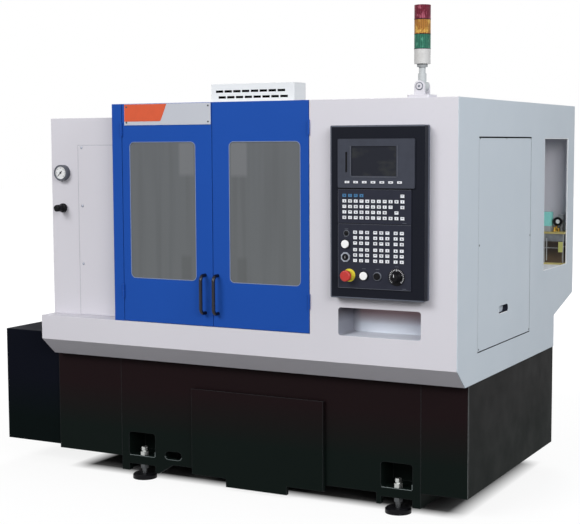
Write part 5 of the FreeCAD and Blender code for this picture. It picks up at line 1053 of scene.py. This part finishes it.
def stage_floor():
    """Pale floor that shows white in the open and keeps the machine's shadow, with a painted shadow under the
    machine where its glow is off.
    """
    mesh = bpy.data.meshes.new("stage_floor")
    form = bmesh.new()
    bmesh.ops.create_grid(form, x_segments=8, y_segments=8, size=FLOOR_SIZE)
    form.to_mesh(mesh)
    form.free()
    floor = bpy.data.objects.new("stage_floor", mesh)
    bpy.context.scene.collection.objects.link(floor)
    s = Shader("stage_pale", FLOOR_GREY, 0.9, 0, Specular_IOR_Level=0.0)
    shaded = s.calc("MULTIPLY", s.zone("X", *SHADED_X, 0.05), s.zone("Y", *SHADED_Y, 0.05))
    open_floor = s.calc("SUBTRACT", 1.0, shaded)
    far = s.node("ShaderNodeVectorMath", operation="LENGTH")
    s.link(s.place, far.inputs[0])
    level = s.spread(far.outputs["Value"], FLOOR_NEAR[0], FLOOR_FAR[0], FLOOR_NEAR[1],
                     FLOOR_FAR[1])
    glow = s.calc("MULTIPLY", s.calc("MULTIPLY", seen_rays(s.tree), open_floor), level)
    s.main.inputs["Emission Color"].default_value = (1, 1, 1, 1)
    s.link(glow, s.main.inputs["Emission Strength"])
    mesh.materials.append(s.material)


def sky():
    """White world that is seen in full, and lights the machine less."""
    world = bpy.data.worlds.new("studio")
    bpy.context.scene.world = world
    world.use_nodes = True
    tree = world.node_tree
    tree.nodes.clear()
    out = tree.nodes.new("ShaderNodeOutputWorld")
    back = tree.nodes.new("ShaderNodeBackground")
    back.inputs["Color"].default_value = (1, 1, 1, 1)
    level = tree.nodes.new("ShaderNodeMapRange")
    level.inputs["To Min"].default_value = WORLD_HIDDEN
    level.inputs["To Max"].default_value = WORLD_SEEN
    tree.links.new(seen_rays(tree), level.inputs["Value"])
    tree.links.new(level.outputs["Result"], back.inputs["Strength"])
    tree.links.new(back.outputs[0], out.inputs["Surface"])


def softbox(name, place, aim, width, height, power, colour):
    """A rectangular light that faces its aim."""
    data = bpy.data.lights.new(name, "AREA")
    data.shape = "RECTANGLE"
    data.size, data.size_y, data.energy, data.color = width, height, power, colour
    lamp = bpy.data.objects.new(name, data)
    bpy.context.scene.collection.objects.link(lamp)
    lamp.location = place
    lamp.rotation_mode = "QUATERNION"
    lamp.rotation_quaternion = (Vector(aim) - Vector(place)).to_track_quat("-Z", "Y")


def aim_camera():
    """Camera at the photograph's place, turned by YAW, PITCH and ROLL."""
    ahead = Vector((-math.sin(YAW) * math.cos(PITCH), math.cos(YAW) * math.cos(PITCH),
                    -math.sin(PITCH)))
    right = Vector((math.cos(YAW), math.sin(YAW), 0))
    up = right.cross(ahead)
    side = math.cos(ROLL) * right + math.sin(ROLL) * up
    top = -math.sin(ROLL) * right + math.cos(ROLL) * up
    lens = bpy.data.cameras.new("camera")
    lens.lens, lens.sensor_width, lens.clip_end = FOCAL, SENSOR, FAR_CLIP
    camera = bpy.data.objects.new("camera", lens)
    bpy.context.scene.collection.objects.link(camera)
    turn = Matrix((side, top, -ahead)).transposed().to_4x4()
    camera.matrix_world = Matrix.Translation(CAMERA_PLACE) @ turn
    bpy.context.scene.camera = camera


stage_floor()
sky()
for light in SOFTBOXES:
    softbox(*light)
aim_camera()
bpy.context.scene.view_settings.view_transform = "Standard"
